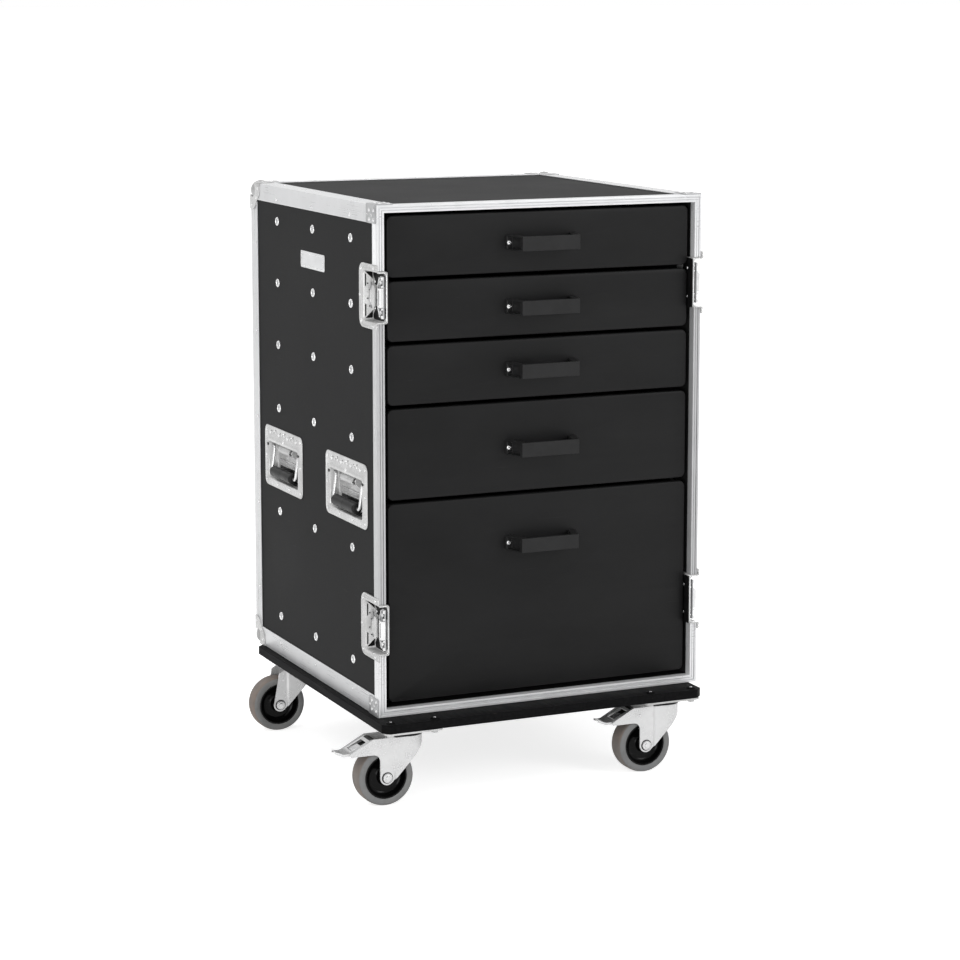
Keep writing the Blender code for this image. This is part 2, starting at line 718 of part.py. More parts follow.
def channel(side, level, near, far, half_height, lip):
    """A C section: its web at the near distance from the middle plane, its flanges run to the far one."""
    sheet = RUNNER_SHEET if far > near else -RUNNER_SHEET
    points = [(near, -half_height), (far, -half_height)]
    inner = half_height - RUNNER_SHEET
    if lip:
        points += [(far, -inner + lip), (far - sheet, -inner + lip), (far - sheet, -inner)]
        points += [(near + sheet, -inner), (near + sheet, inner), (far - sheet, inner)]
        points += [(far - sheet, inner - lip), (far, inner - lip)]
    else:
        points += [(far, -inner), (near + sheet, -inner), (near + sheet, inner), (far, inner)]
    points += [(far, half_height), (near, half_height)]
    return [(side * a, level + b) for a, b in points]


def cabinet_section(side, level):
    """Section of a cabinet member: web on the spacer strip, lipped flanges towards the drawer."""
    near = SPACER_INSIDE + WELD_BITE
    return channel(side, level, near, BOX_HALF_WIDTH + RUNNER_LIP, RUNNER_HEIGHT / 2, RUNNER_RETURN)


def member_section(side, level):
    """Section of a drawer member: web on the drawer's side, flanges inside the cabinet member."""
    near = BOX_HALF_WIDTH - WELD_BITE
    far = SPACER_INSIDE - RUNNER_SHEET - RUNNER_CLEARANCE
    half = RUNNER_HEIGHT / 2 - RUNNER_SHEET - RUNNER_RETURN - RUNNER_CLEARANCE
    return channel(side, level, near, far, half, 0.0)


def drawer_shell(low, high):
    """One drawer: a rounded front and an open box behind it."""
    inset = FRONT_EDGE_ROUND
    bm = bmesh.new()
    loops = []
    for depth, shrink in ((0.0, inset), (inset, 0.0), (DRAWER_FRONT_THICKNESS, 0.0)):
        corner = (-FRONT_HALF_WIDTH + shrink, low + shrink)
        opposite = (FRONT_HALF_WIDTH - shrink, high - shrink)
        outline = rounded_rectangle(corner, opposite, DRAWER_CORNER_RADIUS - shrink)
        loops.append([(a, DRAWER_RECESS + depth, b) for a, b in outline])
    add_loft(bm, loops)
    front = mesh_from(bm, "drawer_front")
    box_low, box_high = low + BOX_RISE, high - BOX_DROP
    rear = DRAWER_REAR
    bm = bmesh.new()
    start = DRAWER_BACK_OF_FRONT - WELD_BITE
    add_box(bm, (-BOX_HALF_WIDTH, start, box_low), (BOX_HALF_WIDTH, rear, box_high))
    shell = combine(front, mesh_from(bm, "box"), "UNION")
    bm = bmesh.new()
    inner = BOX_HALF_WIDTH - DRAWER_WALL
    low_corner = (-inner, DRAWER_BACK_OF_FRONT, box_low + DRAWER_FLOOR)
    add_box(bm, low_corner, (inner, rear - DRAWER_WALL, high + BOX_DROP))
    return combine(shell, mesh_from(bm, "hollow"), "DIFFERENCE")


def make_drawers(root):
    """Five drawers, each with the runner members that are screwed to its sides."""
    for number, ((low, high), level) in enumerate(zip(front_spans(), runner_levels()), 1):
        bm = bmesh.new()
        start = DRAWER_BACK_OF_FRONT + MEMBER_START
        for _, side in SIDES:
            add_prism(bm, member_section(side, level), "Y", start, DRAWER_REAR)
        drawer = union([drawer_shell(low, high), mesh_from(bm, "drawer_members")])
        place(f"drawer_{number}", drawer, "drawer_black", root)


def pull_mesh():
    """A bow pull with sloping legs, each hollowed for its screw."""
    half, slope, bar, deep = PULL_LENGTH / 2, PULL_SLOPE, PULL_BAR, PULL_DEPTH
    outline = (
        (-half, 0.0),
        (-half + slope, -deep),
        (half - slope, -deep),
        (half, 0.0),
        (half - PULL_LEG, 0.0),
        (half - PULL_LEG - slope * (deep - bar) / deep, -deep + bar),
        (-half + PULL_LEG + slope * (deep - bar) / deep, -deep + bar),
        (-half + PULL_LEG, 0.0),
    )
    bm = bmesh.new()
    add_prism(bm, outline, "Z", -PULL_HEIGHT / 2, PULL_HEIGHT / 2)
    mesh = mesh_from(bm, "pull")
    tool = bmesh.new()
    tall = PULL_HEIGHT / 2 - PULL_POCKET_MARGIN
    for side in (-1, 1):
        corners = []
        for depth in (PULL_POCKET_FLOOR, deep - bar):
            corners.append((side * (half - PULL_POCKET_WIDTH - slope * depth / deep), -depth))
        corners += [(side * 2 * half, -(deep - bar)), (side * 2 * half, -PULL_POCKET_FLOOR)]
        add_prism(tool, corners, "Z", -tall, tall)
    return combine(mesh, mesh_from(tool, "pockets"), "DIFFERENCE")


def make_pulls(root):
    """One pull in the middle of each drawer front, but near the top of the tall one."""
    for number, (low, high) in enumerate(front_spans(), 1):
        level = high - LOWEST_PULL_DROP if number > len(UPPER_FRONT_HEIGHTS) else (low + high) / 2
        place(f"drawer_pull_{number}", pull_mesh(), "black_plastic", root, (0.0, DRAWER_RECESS - SEAT_GAP, level))


# Recessed handles

def dish_mesh(side, back, up):
    """A pressed dish: a flange on the panel and a pocket with sloping walls."""
    sheet = DISH_SHEET
    surface = PANEL_OUTSIDE + SEAT_GAP - HALF_WIDTH
    top = surface + sheet
    floor = top - HANDLE_POCKET_DEPTH
    flange = (HANDLE_FLANGE_WIDTH / 2, HANDLE_FLANGE_HEIGHT / 2)
    pocket = (HANDLE_POCKET_WIDTH / 2, HANDLE_POCKET_HEIGHT / 2)
    drop = HANDLE_POCKET_DROP

    def loop(outward, half, shrink, radius, lower):
        low = (back - half[0] + shrink, up - half[1] + shrink - lower)
        high = (back + half[0] - shrink, up + half[1] - shrink - lower)
        return [side_point(side, outward, a, b) for a, b in rounded_rectangle(low, high, radius)]

    bm = bmesh.new()
    add_loft(bm, [
        loop(floor, pocket, HANDLE_DRAFT, HANDLE_POCKET_RADIUS, drop),
        loop(top, pocket, 0.0, HANDLE_POCKET_RADIUS, drop),
        loop(top, flange, sheet / 2, HANDLE_FLANGE_RADIUS, 0.0),
        loop(surface, flange, 0.0, HANDLE_FLANGE_RADIUS, 0.0),
        loop(surface, pocket, -sheet, HANDLE_POCKET_RADIUS + sheet, drop),
        loop(floor - sheet, pocket, HANDLE_DRAFT - sheet, HANDLE_POCKET_RADIUS + sheet, drop),
    ])
    return mesh_from(bm, "dish")


def make_handle_dishes(root):
    """Four dishes, two on each side panel."""
    for name, side, back in handle_places():
        place(f"handle_dish_{name}", dish_mesh(side, back, handle_level()), "zinc", root)


def add_tube(bm, path, radius, sides):
    """A round rod along a path that bends in the plane of its first and last points."""
    loops = []
    for i, point in enumerate(path):
        before = path[max(i - 1, 0)]
        after = path[min(i + 1, len(path) - 1)]
        run = math.hypot(after[0] - before[0], after[1] - before[1])
        along = ((after[0] - before[0]) / run, (after[1] - before[1]) / run)
        loop = []
        for t in range(sides):
            angle = 2 * math.pi * t / sides
            across = radius * math.cos(angle)
            loop.append((radius * math.sin(angle), point[0] - along[1] * across, point[1] + along[0] * across))
        loops.append(loop)
    add_loft(bm, loops)


def bail_mesh():
    """A bent rod with its ends turned out as pins, in a rubber grip along its lower run."""
    half, drop, bend = BAIL_WIDTH / 2, BAIL_DROP, BAIL_BEND
    depth_share = (BAIL_PIN_DEPTH + ROD_RADIUS) / HANDLE_POCKET_DEPTH
    pin = HANDLE_POCKET_WIDTH / 2 - HANDLE_DRAFT * depth_share - 2 * SEAT_GAP
    path = [(-pin, 0.0), (-half - BAIL_TURN, 0.0), (-half, -BAIL_TURN)]
    path += arc(-half + bend, -drop + bend, bend, 180, 270, 2)
    path += arc(half - bend, -drop + bend, bend, 270, 360, 2)
    path += [(half, -BAIL_TURN), (half + BAIL_TURN, 0.0), (pin, 0.0)]
    bm = bmesh.new()
    add_tube(bm, path, ROD_RADIUS, ROD_SIDES)
    rod = mesh_from(bm, "rod")
    long, edge = GRIP_LENGTH / 2, GRIP_EDGE
    bm = bmesh.new()
    loops = []
    narrow = GRIP_RADIUS - edge
    for along, radius in ((-long, narrow), (edge - long, GRIP_RADIUS), (long - edge, GRIP_RADIUS), (long, narrow)):
        points = circle(0.0, -drop, radius, GRIP_SIDES, math.pi / GRIP_SIDES)
        loops.append([(a, along, b) for a, b in points])
    add_loft(bm, loops)
    return combine(rod, mesh_from(bm, "grip"), "UNION")


def make_bails(root):
    """A bail in each dish, hinged at the top of its pocket."""
    pocket_top = handle_level() - HANDLE_POCKET_DROP + HANDLE_POCKET_HEIGHT / 2
    level = pocket_top - HANDLE_POCKET_RADIUS - ROD_RADIUS
    surface = PANEL_OUTSIDE + SEAT_GAP + DISH_SHEET - HALF_WIDTH
    for name, side, back in handle_places():
        where = side_point(side, surface - BAIL_PIN_DEPTH, back, level)
        place(f"handle_bail_{name}", bail_mesh(), "black_plastic", root, where)


# Butterfly latches

def latch_pan(side, up):
    """A pressed latch dish, open to the front of the case, with a boss for the drum."""
    sheet = DISH_SHEET
    surface = SEAT_GAP
    top = surface + sheet
    floor = -LATCH_PAN_DEPTH
    margin = (LATCH_FLANGE_HEIGHT - LATCH_PAN_HEIGHT) / 2
    pan_front = LATCH_FRONT - 2 * LATCH_FLANGE_RADIUS
    pan = (LATCH_PAN_HEIGHT / 2, pan_front, LATCH_PAN_BACK)
    flange = (LATCH_FLANGE_HEIGHT / 2, pan_front - margin, LATCH_FLANGE_BACK)

    def loop(outward, reach, shrink, radius):
        low = (reach[1] + shrink, up - reach[0] + shrink)
        high = (reach[2] - shrink, up + reach[0] - shrink)
        return [side_point(side, outward, a, b) for a, b in rounded_rectangle(low, high, radius)]

    bm = bmesh.new()
    add_loft(bm, [
        loop(floor, pan, 0.0, LATCH_PAN_RADIUS),
        loop(top, pan, 0.0, LATCH_PAN_RADIUS),
        loop(top, flange, sheet / 2, LATCH_FLANGE_RADIUS),
        loop(surface, flange, 0.0, LATCH_FLANGE_RADIUS),
        loop(surface, pan, -sheet, LATCH_PAN_RADIUS + sheet),
        loop(floor - sheet, pan, -sheet, LATCH_PAN_RADIUS + sheet),
    ])
    dish = mesh_from(bm, "latch_pan")
    tool = bmesh.new()
    low_x, high_x = across(side, PANEL_INSIDE - 2 * LATCH_PAN_DEPTH, HALF_WIDTH + PANEL_THICKNESS)
    reach = LATCH_FLANGE_HEIGHT
    add_box(tool, (low_x, LATCH_FRONT - reach, up - reach), (high_x, LATCH_FRONT, up + reach))
    dish = combine(dish, mesh_from(tool, "front_cut"), "DIFFERENCE")
    bm = bmesh.new()
    outline = circle(LATCH_CENTRE_BACK, up, LATCH_BOSS_RADIUS, 10)
    levels = (floor - WELD_BITE, floor + LATCH_BOSS_HEIGHT)
    add_loft(bm, [[side_point(side, u, a, b) for a, b in outline] for u in levels])
    return combine(dish, mesh_from(bm, "boss"), "UNION")


def make_latch_dishes(root):
    """Four latch dishes, two on each side at the front edge."""
    for name, side, up in latch_places():
        place(f"latch_dish_{name}", latch_pan(side, up), "zinc", root)


def hook_mesh(side):
    """The hook plate: wide at its lip, waisted at the drum, with a slot for the shaft."""
    front = LATCH_FRONT - LATCH_CENTRE_BACK
    low = LATCH_BOSS_HEIGHT + LATCH_PLAY
    high = low + HOOK_SHEET
    wide, waist, tail = HOOK_FRONT_WIDTH / 2, HOOK_WAIST_WIDTH / 2, HOOK_TAIL_WIDTH / 2
    shoulder = front + HOOK_SHOULDER
    neck = DRUM_RADIUS - HOOK_SHEET
    outline = (
        (front, -wide),
        (shoulder, -wide),
        (-neck, -waist),
        (neck - HOOK_SHEET, -waist),
        (HOOK_TAIL, -tail),
        (HOOK_TAIL, tail),
        (neck - HOOK_SHEET, waist),
        (-neck, waist),
        (shoulder, wide),
        (front, wide),
    )
    bm = bmesh.new()
    add_loft(bm, [[(side * u, a, b) for a, b in outline] for u in (low, high)])
    plate = mesh_from(bm, "hook")
    bm = bmesh.new()
    reach = across(side, low, high + HOOK_LIP)
    add_box(bm, (reach[0], front, -wide), (reach[1], front + HOOK_SHEET, wide))
    plate = combine(plate, mesh_from(bm, "lip"), "UNION")
    bm = bmesh.new()
    radius = DRUM_SHAFT_RADIUS + DRUM_SHAFT_CLEARANCE
    slot = rounded_rectangle((-radius, -radius), (radius + HOOK_TRAVEL, radius), 0.98 * radius)
    add_loft(bm, [[(side * u, a, b) for a, b in slot] for u in (low - HOOK_SHEET, high + HOOK_SHEET)])
    return combine(plate, mesh_from(bm, "slot"), "DIFFERENCE")


def drum_heights():
    """Levels of the drum's disc and of the wing's pin above the floor of the dish."""
    disc_low = LATCH_BOSS_HEIGHT + 2 * LATCH_PLAY + HOOK_SHEET
    disc_high = disc_low + DRUM_SHEET
    return disc_low, disc_high, disc_high + LUG_RADIUS + SEAT_GAP


def drum_mesh(side):
    """The turning drum: a shaft through the hook plate, a disc over it and two lugs."""
    disc_low, disc_high, pin = drum_heights()
    shaft = circle(0.0, 0.0, DRUM_SHAFT_RADIUS, 12)
    ring = circle(0.0, 0.0, DRUM_RADIUS, 12)
    levels = ((shaft, LATCH_BOSS_HEIGHT + SEAT_GAP), (shaft, disc_low), (ring, disc_low), (ring, disc_high))
    bm = bmesh.new()
    add_loft(bm, [[(side * u, a, b) for a, b in outline] for outline, u in levels])
    disc = mesh_from(bm, "drum")
    bm = bmesh.new()
    near = KNUCKLE_LENGTH / 2 + SEAT_GAP
    for end in (-1, 1):
        outline = [(side * (disc_high - WELD_BITE), -LUG_RADIUS)]
        outline += [(side * (pin + a), b) for a, b in arc(0.0, 0.0, LUG_RADIUS, -90, 90, 4)]
        outline.append((side * (disc_high - WELD_BITE), LUG_RADIUS))
        low, high = sorted((end * near, end * (near + LUG_WIDTH)))
        add_prism(bm, outline, "Z", low, high)
    return combine(disc, mesh_from(bm, "lugs"), "UNION")


def wing_mesh(side):
    """The folding wing: a plate that lies over the drum, with a knuckle along its pin."""
    half, corner, neck = WING_LENGTH / 2, WING_CORNER, KNUCKLE_LENGTH / 2
    shoulder = LUG_RADIUS + LATCH_PLAY
    outline = (
        (0.0, -neck),
        (-shoulder, -neck),
        (-shoulder - corner, -half),
        (-WING_REACH + corner, -half),
        (-WING_REACH, -half + corner),
        (-WING_REACH, half - corner),
        (-WING_REACH + corner, half),
        (-shoulder - corner, half),
        (-shoulder, neck),
        (0.0, neck),
    )
    bm = bmesh.new()
    base = -WING_SHEET / 2
    add_loft(bm, [[(side * u, a, b) for a, b in outline] for u in (base, base + WING_SHEET)])
    plate = mesh_from(bm, "wing")
    bm = bmesh.new()
    knuckle = circle(0.0, 0.0, LUG_RADIUS, 10)
    add_loft(bm, [[(side * a, b, z) for a, b in knuckle] for z in (-neck, neck)])
    return combine(plate, mesh_from(bm, "knuckle"), "UNION")


def make_latches(root):
    """Hook plate, drum and folding wing of each latch."""
    pin = drum_heights()[2]
    for name, side, up in latch_places():
        centre = side_point(side, -LATCH_PAN_DEPTH, LATCH_CENTRE_BACK, up)
        hinge = side_point(side, pin - LATCH_PAN_DEPTH, LATCH_CENTRE_BACK, up)
        place(f"latch_hook_{name}", hook_mesh(side), "zinc", root, centre)
        place(f"latch_drum_{name}", drum_mesh(side), "zinc", root, centre)
        place(f"latch_wing_{name}", wing_mesh(side), "steel", root, hinge)


# Castor board and castors

def make_board(root):
    """The plywood board with chamfered corners, and the bolt heads that show on its front ledge."""
    c = BOARD_CHAMFER
    outline = (
        (BOARD_LEFT + c, BOARD_FRONT),
        (BOARD_RIGHT - c, BOARD_FRONT),
        (BOARD_RIGHT, BOARD_FRONT + c),
        (BOARD_RIGHT, BOARD_REAR - c),
        (BOARD_RIGHT - c, BOARD_REAR),
        (BOARD_LEFT + c, BOARD_REAR),
        (BOARD_LEFT, BOARD_REAR - c),
        (BOARD_LEFT, BOARD_FRONT + c),
    )
    bm = bmesh.new()
    add_prism(bm, outline, "Z", BOARD_UNDERSIDE, BOARD_TOP)
    board = mesh_from(bm, "board")
    bm = bmesh.new()
    heads = ((-WELD_BITE, 1.0), (0.5 * BOLT_HEAD_HEIGHT, 0.88), (BOLT_HEAD_HEIGHT, 0.45))
    for _, x, y, _ in CASTORS:
        row = y - BOLT_PITCH_Y / 2
        if row + BOLT_HEAD_RADIUS > 0.0:
            continue
        for a in (-BOLT_PITCH_X / 2, BOLT_PITCH_X / 2):
            loops = []
            for rise, share in heads:
                points = circle(x + a, row, share * BOLT_HEAD_RADIUS, 10)
                loops.append([(p, q, BOARD_TOP + rise) for p, q in points])
            add_loft(bm, loops)
    place("castor_board", combine(board, mesh_from(bm, "bolt_heads"), "UNION"), "board_black", root)


def castor_plate(x, y):
    """A top plate with its race, kingpin and four nuts."""
    low = (x - PLATE_LENGTH / 2, y - PLATE_WIDTH / 2)
    high = (x + PLATE_LENGTH / 2, y + PLATE_WIDTH / 2)
    underside = PLATE_TOP - PLATE_THICKNESS
    bm = bmesh.new()
    add_prism(bm, rounded_rectangle(low, high, PLATE_CORNER_RADIUS), "Z", underside, PLATE_TOP)
    plate = mesh_from(bm, "plate")
    race_low = underside - RACE_DEPTH
    head_top = race_low - 2 * SWIVEL_GAP - FORK_SHEET
    race = circle(x, y, RACE_RADIUS, 16)
    pin = circle(x, y, KINGPIN_RADIUS, 16)
    head = circle(x, y, KINGPIN_HEAD_RADIUS, 16)
    levels = (
        (race, underside + WELD_BITE),
        (race, race_low),
        (pin, race_low),
        (pin, head_top),
        (head, head_top),
        (head, head_top - KINGPIN_HEAD),
    )
    bm = bmesh.new()
    add_loft(bm, [[(a, b, z) for a, b in outline] for outline, z in levels])
    for a in (-BOLT_PITCH_X / 2, BOLT_PITCH_X / 2):
        for b in (-BOLT_PITCH_Y / 2, BOLT_PITCH_Y / 2):
            add_disc(bm, "Z", (x + a, y + b), NUT_RADIUS, underside - NUT_HEIGHT, underside + WELD_BITE, 6)
    return combine(plate, mesh_from(bm, "race_and_nuts"), "UNION")


def make_castor_plates(root):
    """Four top plates under the board."""
    for name, x, y, _ in CASTORS:
        place(f"castor_plate_{name}", castor_plate(x, y), "zinc", root)


def fork_side_outline(braked):
    """Side view of the fork from its axle: forward is +X, and the crown is at the top."""
    crown = CASTOR_HEIGHT - PLATE_THICKNESS - RACE_DEPTH - SWIVEL_GAP - WHEEL_RADIUS
    foot = LEG_HALF_FOOT
    nose = TRAIL + CROWN_RADIUS
    points = [(nose, crown), (nose, crown - NOSE_DEPTH)]
    slope = math.atan2(crown - NOSE_DEPTH, nose)
    tangent = slope - math.acos(foot / math.hypot(nose, crown - NOSE_DEPTH))
    points += arc(0.0, 0.0, foot, math.degrees(tangent), -180, 5)
    if braked:
        points.append((-foot, ARM_UNDERSIDE - ARM_FILLET))
        points += arc(-foot - ARM_FILLET, ARM_UNDERSIDE - ARM_FILLET, ARM_FILLET, 0, 90, 3)[1:]
        points += [(-ARM_TIP + ARM_TIP_RISE / 2, ARM_UNDERSIDE), (-ARM_TIP, ARM_UNDERSIDE + ARM_TIP_RISE)]
        points.append((-ARM_SHOULDER, ARM_SHOULDER_HEIGHT))
    else:
        points.append((-0.12 * foot, crown - 0.6 * NOSE_DEPTH))
    points.append((TRAIL - CROWN_RADIUS * 1.05, crown))
    return points


def fork_plan_outline(half_width, radius):
    """Plan of the bent sheet: flat legs that widen into a round nose about the kingpin."""
    back = TRAIL + 2 * ARM_TIP
    crease = -TRAIL + CREASE_FORWARD
    shoulder = arc(0.0, 0.0, radius, 105, -105, 8)
    return [(-back, -half_width), (crease, -half_width)] + shoulder[::-1] + [(crease, half_width), (-back, half_width)]


def fork_mesh(braked):
    """A bent sheet fork with its axle: plan and side view intersected, then hollowed."""
    crown = CASTOR_HEIGHT - PLATE_THICKNESS - RACE_DEPTH - SWIVEL_GAP
    half = FORK_LEG_GAP / 2
    wide = half + FORK_SHEET
    bm = bmesh.new()
    add_prism(bm, fork_plan_outline(wide, CROWN_RADIUS), "Z", 0.0, 2 * CASTOR_HEIGHT)
    sheet = mesh_from(bm, "fork")
    bm = bmesh.new()
    outline = [(a - TRAIL, b + WHEEL_RADIUS) for a, b in fork_side_outline(braked)]
    add_prism(bm, outline, "Y", -2 * CROWN_RADIUS, 2 * CROWN_RADIUS)
    sheet = combine(sheet, mesh_from(bm, "side"), "INTERSECT")
    bm = bmesh.new()
    inner = fork_plan_outline(half, CROWN_RADIUS - FORK_SHEET)
    add_prism(bm, inner, "Z", -CASTOR_HEIGHT, crown - FORK_SHEET)
    sheet = combine(sheet, mesh_from(bm, "inside"), "DIFFERENCE")
    bm = bmesh.new()
    opening = -TRAIL - CROWN_OPENING if not braked else -CROWN_RADIUS - CROWN_OPENING
    add_box(bm, (-TRAIL - 2 * ARM_TIP, -half, 0.0), (opening, half, 2 * CASTOR_HEIGHT))
    add_disc(bm, "Z", (0.0, 0.0), KINGPIN_RADIUS + AXLE_CLEARANCE, crown - 2 * FORK_SHEET, crown + FORK_SHEET, 16)
    sheet = combine(sheet, mesh_from(bm, "openings"), "DIFFERENCE")
    axle = circle(-TRAIL, WHEEL_RADIUS, AXLE_RADIUS, 12)
    head = circle(-TRAIL, WHEEL_RADIUS, AXLE_HEAD_RADIUS, 12)
    seat = wide - WELD_BITE
    end = wide + AXLE_HEAD
    bm = bmesh.new()
    levels = ((head, -end), (head, -seat), (axle, -seat), (axle, seat), (head, seat), (head, end))
    add_loft(bm, [[(a, y, b) for a, b in ring] for ring, y in levels])
    return combine(sheet, mesh_from(bm, "axle"), "UNION")


def wheel_mesh():
    """A moulded wheel: a hub with a thin web and a boss, and a tyre with a crowned tread."""
    fit = 1.0 / math.cos(math.pi / WHEEL_SIDES)
    tyre, hub, web = WHEEL_WIDTH / 2, HUB_WIDTH / 2, HUB_WEB / 2
    boss = FORK_LEG_GAP / 2 - HUB_SIDE_PLAY
    inner = HUB_RADIUS - HUB_RIM
    bore = AXLE_RADIUS + AXLE_CLEARANCE
    side = [
        (bore, boss),
        (HUB_BOSS_RADIUS, boss),
        (HUB_BOSS_RADIUS, web),
        (inner - HUB_RIM, web),
        (inner, hub),
        (HUB_RADIUS, hub),
        (HUB_RADIUS, tyre),
        (WHEEL_RADIUS - TREAD_SHOULDER, tyre),
        (WHEEL_RADIUS - TREAD_CROWN, tyre - TREAD_SHOULDER),
        (WHEEL_RADIUS, tyre - 2 * TREAD_SHOULDER),
    ]
    profile = [(r * fit, -y) for r, y in side] + [(r * fit, y) for r, y in side[::-1]]
    bm = bmesh.new()
    add_lathe_ring(bm, profile, "Y", (0.0, 0.0), WHEEL_SIDES)
    return mesh_from(bm, "wheel")


def pedal_mesh():
    """The brake pedal from its pivot: a sloping plate with a window and a raised lip."""
    px, pz = PEDAL_PIVOT_BACK, PEDAL_PIVOT_HEIGHT
    sheet = PEDAL_SHEET
    shoulder = (-ARM_SHOULDER, ARM_SHOULDER_HEIGHT)
    heel = (-PEDAL_LIP_START, PEDAL_LIP_LOW + sheet)
    tip = (-PEDAL_REACH, PEDAL_TIP_RISE)
    upper = [tip, (-PEDAL_LIP_START - 0.010, PEDAL_LIP_LOW + sheet + 0.0005), heel, shoulder]
    upper.append((-px - 0.2 * PEDAL_BOSS, pz + PEDAL_BOSS))
    lower = [(-px + PEDAL_BOSS, pz), (-px, pz - PEDAL_BOSS), (-px - PEDAL_BOSS, pz)]
    lower += [(shoulder[0] - 0.001, shoulder[1] - 1.4 * sheet), (heel[0] + 0.001, heel[1] - sheet)]
    lower += [(-PEDAL_LIP_START - 0.010, PEDAL_LIP_LOW - sheet * 0.7), (tip[0] + 0.5 * sheet, tip[1] - sheet)]
    half = FORK_LEG_GAP / 2 - PEDAL_SIDE_PLAY
    outline = [(a + px, b - pz) for a, b in upper + lower]
    bm = bmesh.new()
    add_prism(bm, outline, "Y", -half, half)
    mesh = mesh_from(bm, "pedal")
    slope = (shoulder[0] - heel[0], shoulder[1] - heel[1])
    run = math.hypot(*slope)
    along = (slope[0] / run, slope[1] / run)
    middle = ((shoulder[0] + heel[0]) / 2 + px, (shoulder[1] + heel[1]) / 2 - pz)
    reach = PEDAL_WINDOW_LENGTH / 2
    window = []
    for s, t in ((-reach, -4 * sheet), (reach, -4 * sheet), (reach, 3 * sheet), (-reach, 3 * sheet)):
        window.append((middle[0] + s * along[0] - t * along[1], middle[1] + s * along[1] + t * along[0]))
    bm = bmesh.new()
    add_prism(bm, window, "Y", -PEDAL_WINDOW_WIDTH / 2, PEDAL_WINDOW_WIDTH / 2)
    mesh = combine(mesh, mesh_from(bm, "window"), "DIFFERENCE")
    end = -PEDAL_REACH + px
    corner = PEDAL_CORNER
    bm = bmesh.new()
    for side in (-1, 1):
        outline = (
            (end - corner, side * (half - 1.6 * corner)),
            (end, side * (half - 1.6 * corner)),
            (end + 1.2 * corner, side * half),
            (end + 1.2 * corner, side * (half + corner)),
            (end - corner, side * (half + corner)),
        )
        add_prism(bm, outline, "Z", -pz, pz)
    return combine(mesh, mesh_from(bm, "lip_corners"), "DIFFERENCE")


def make_castors(root):
    """Forks on the swivel axes, wheels on the axles and pedals on the front two."""
    for name, x, y, braked in CASTORS:
        place(f"castor_fork_{name}", fork_mesh(braked), "zinc", root, (x, y, FLOOR))
        axle = (x - TRAIL, y, FLOOR + WHEEL_RADIUS)
        place(f"wheel_{name}", wheel_mesh(), "rubber_grey", root, axle)
        if braked:
            pivot = (axle[0] - PEDAL_PIVOT_BACK, y, axle[2] + PEDAL_PIVOT_HEIGHT)
            place(f"brake_pedal_{name}", pedal_mesh(), "zinc", root, pivot)


def build():
    """Makes the whole case under one empty that stands it on the floor."""
    clear_scene()
    root = bpy.data.objects.new("case_frame", None)
    bpy.context.scene.collection.objects.link(root)
    root.location = FRAME_PLACE
    make_panels(root)
    make_front_frame(root)
    make_edge_angles(root)
    make_drawers(root)
    make_pulls(root)
    make_handle_dishes(root)
    make_bails(root)
    make_latch_dishes(root)
    make_latches(root)
    make_board(root)
    make_castor_plates(root)
    make_castors(root)


build()
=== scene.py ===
"""Looks of the tool flight case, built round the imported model.

Lengths are in metres. The body's own frame has X to the right, Y to the rear and Z up, from the middle of
the front edge of its underside. at() turns a point of it into the world's frame, and side_at() does the
same for a point measured outward from the extrusions of one side.
"""
import math

import bmesh
import bpy
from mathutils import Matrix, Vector


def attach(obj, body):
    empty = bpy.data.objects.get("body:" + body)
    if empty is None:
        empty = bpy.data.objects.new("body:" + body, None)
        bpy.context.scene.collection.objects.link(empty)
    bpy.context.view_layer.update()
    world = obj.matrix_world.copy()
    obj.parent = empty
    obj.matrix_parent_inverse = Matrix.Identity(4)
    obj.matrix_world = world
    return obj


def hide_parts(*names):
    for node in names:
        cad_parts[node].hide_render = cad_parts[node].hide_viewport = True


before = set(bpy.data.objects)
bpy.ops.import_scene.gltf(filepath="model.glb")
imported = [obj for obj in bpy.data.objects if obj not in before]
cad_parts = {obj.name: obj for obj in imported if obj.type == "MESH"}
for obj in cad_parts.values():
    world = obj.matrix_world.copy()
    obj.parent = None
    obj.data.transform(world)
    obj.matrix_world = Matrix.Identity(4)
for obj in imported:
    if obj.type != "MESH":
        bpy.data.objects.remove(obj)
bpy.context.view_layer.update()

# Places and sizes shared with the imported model
BODY_ORIGIN = Vector((0.041, -0.283, 0.1456))
HALF = 0.3015
DEPTH = 0.612
HEIGHT = 0.860
PANEL_OUT = 0.2997
PANEL_IN = 0.2907
SPACER_IN = 0.2817
BOX_HALF = 0.2690
FACE = 0.0130
LEG = 0.034
FLANGE = 0.0215
SHEET = 0.0012
SIDES = (("left", -1), ("right", 1))
ROWS = (("lower", 0.0, 1), ("upper", HEIGHT, -1))
FRONTS = ((0.739, 0.841), (0.6325, 0.7325), (0.526, 0.626), (0.3665, 0.5195), (0.0222, 0.360))
PULL_LEVELS = (0.790, 0.6825, 0.576, 0.443, 0.2793)
RUNNERS = (0.7975, 0.687, 0.575, 0.4595, 0.270)
RUNNER_HALF = 0.01765
RIVET_COLUMNS = (0.1204, 0.2993, 0.4764)
HANDLES = (("front", 0.1465), ("rear", 0.4545))
HANDLE_LEVEL = 0.366
POCKET_DROP = 0.0075
LATCHES = (("lower", 0.150), ("upper", 0.708))
LATCH_GAP = 0.0438
LATCH_FRONT = -0.0035
LATCH_BACK = 0.037
BOARD = (-0.3135, 0.2885, -0.050, 0.577)
CASTORS = (
    ("front_left", -0.2565, -0.0065),
    ("front_right", 0.2315, -0.0065),
    ("rear_left", -0.2565, 0.511),
    ("rear_right", 0.2315, 0.511),
)
FLOOR = -0.1456
TRAIL = 0.043
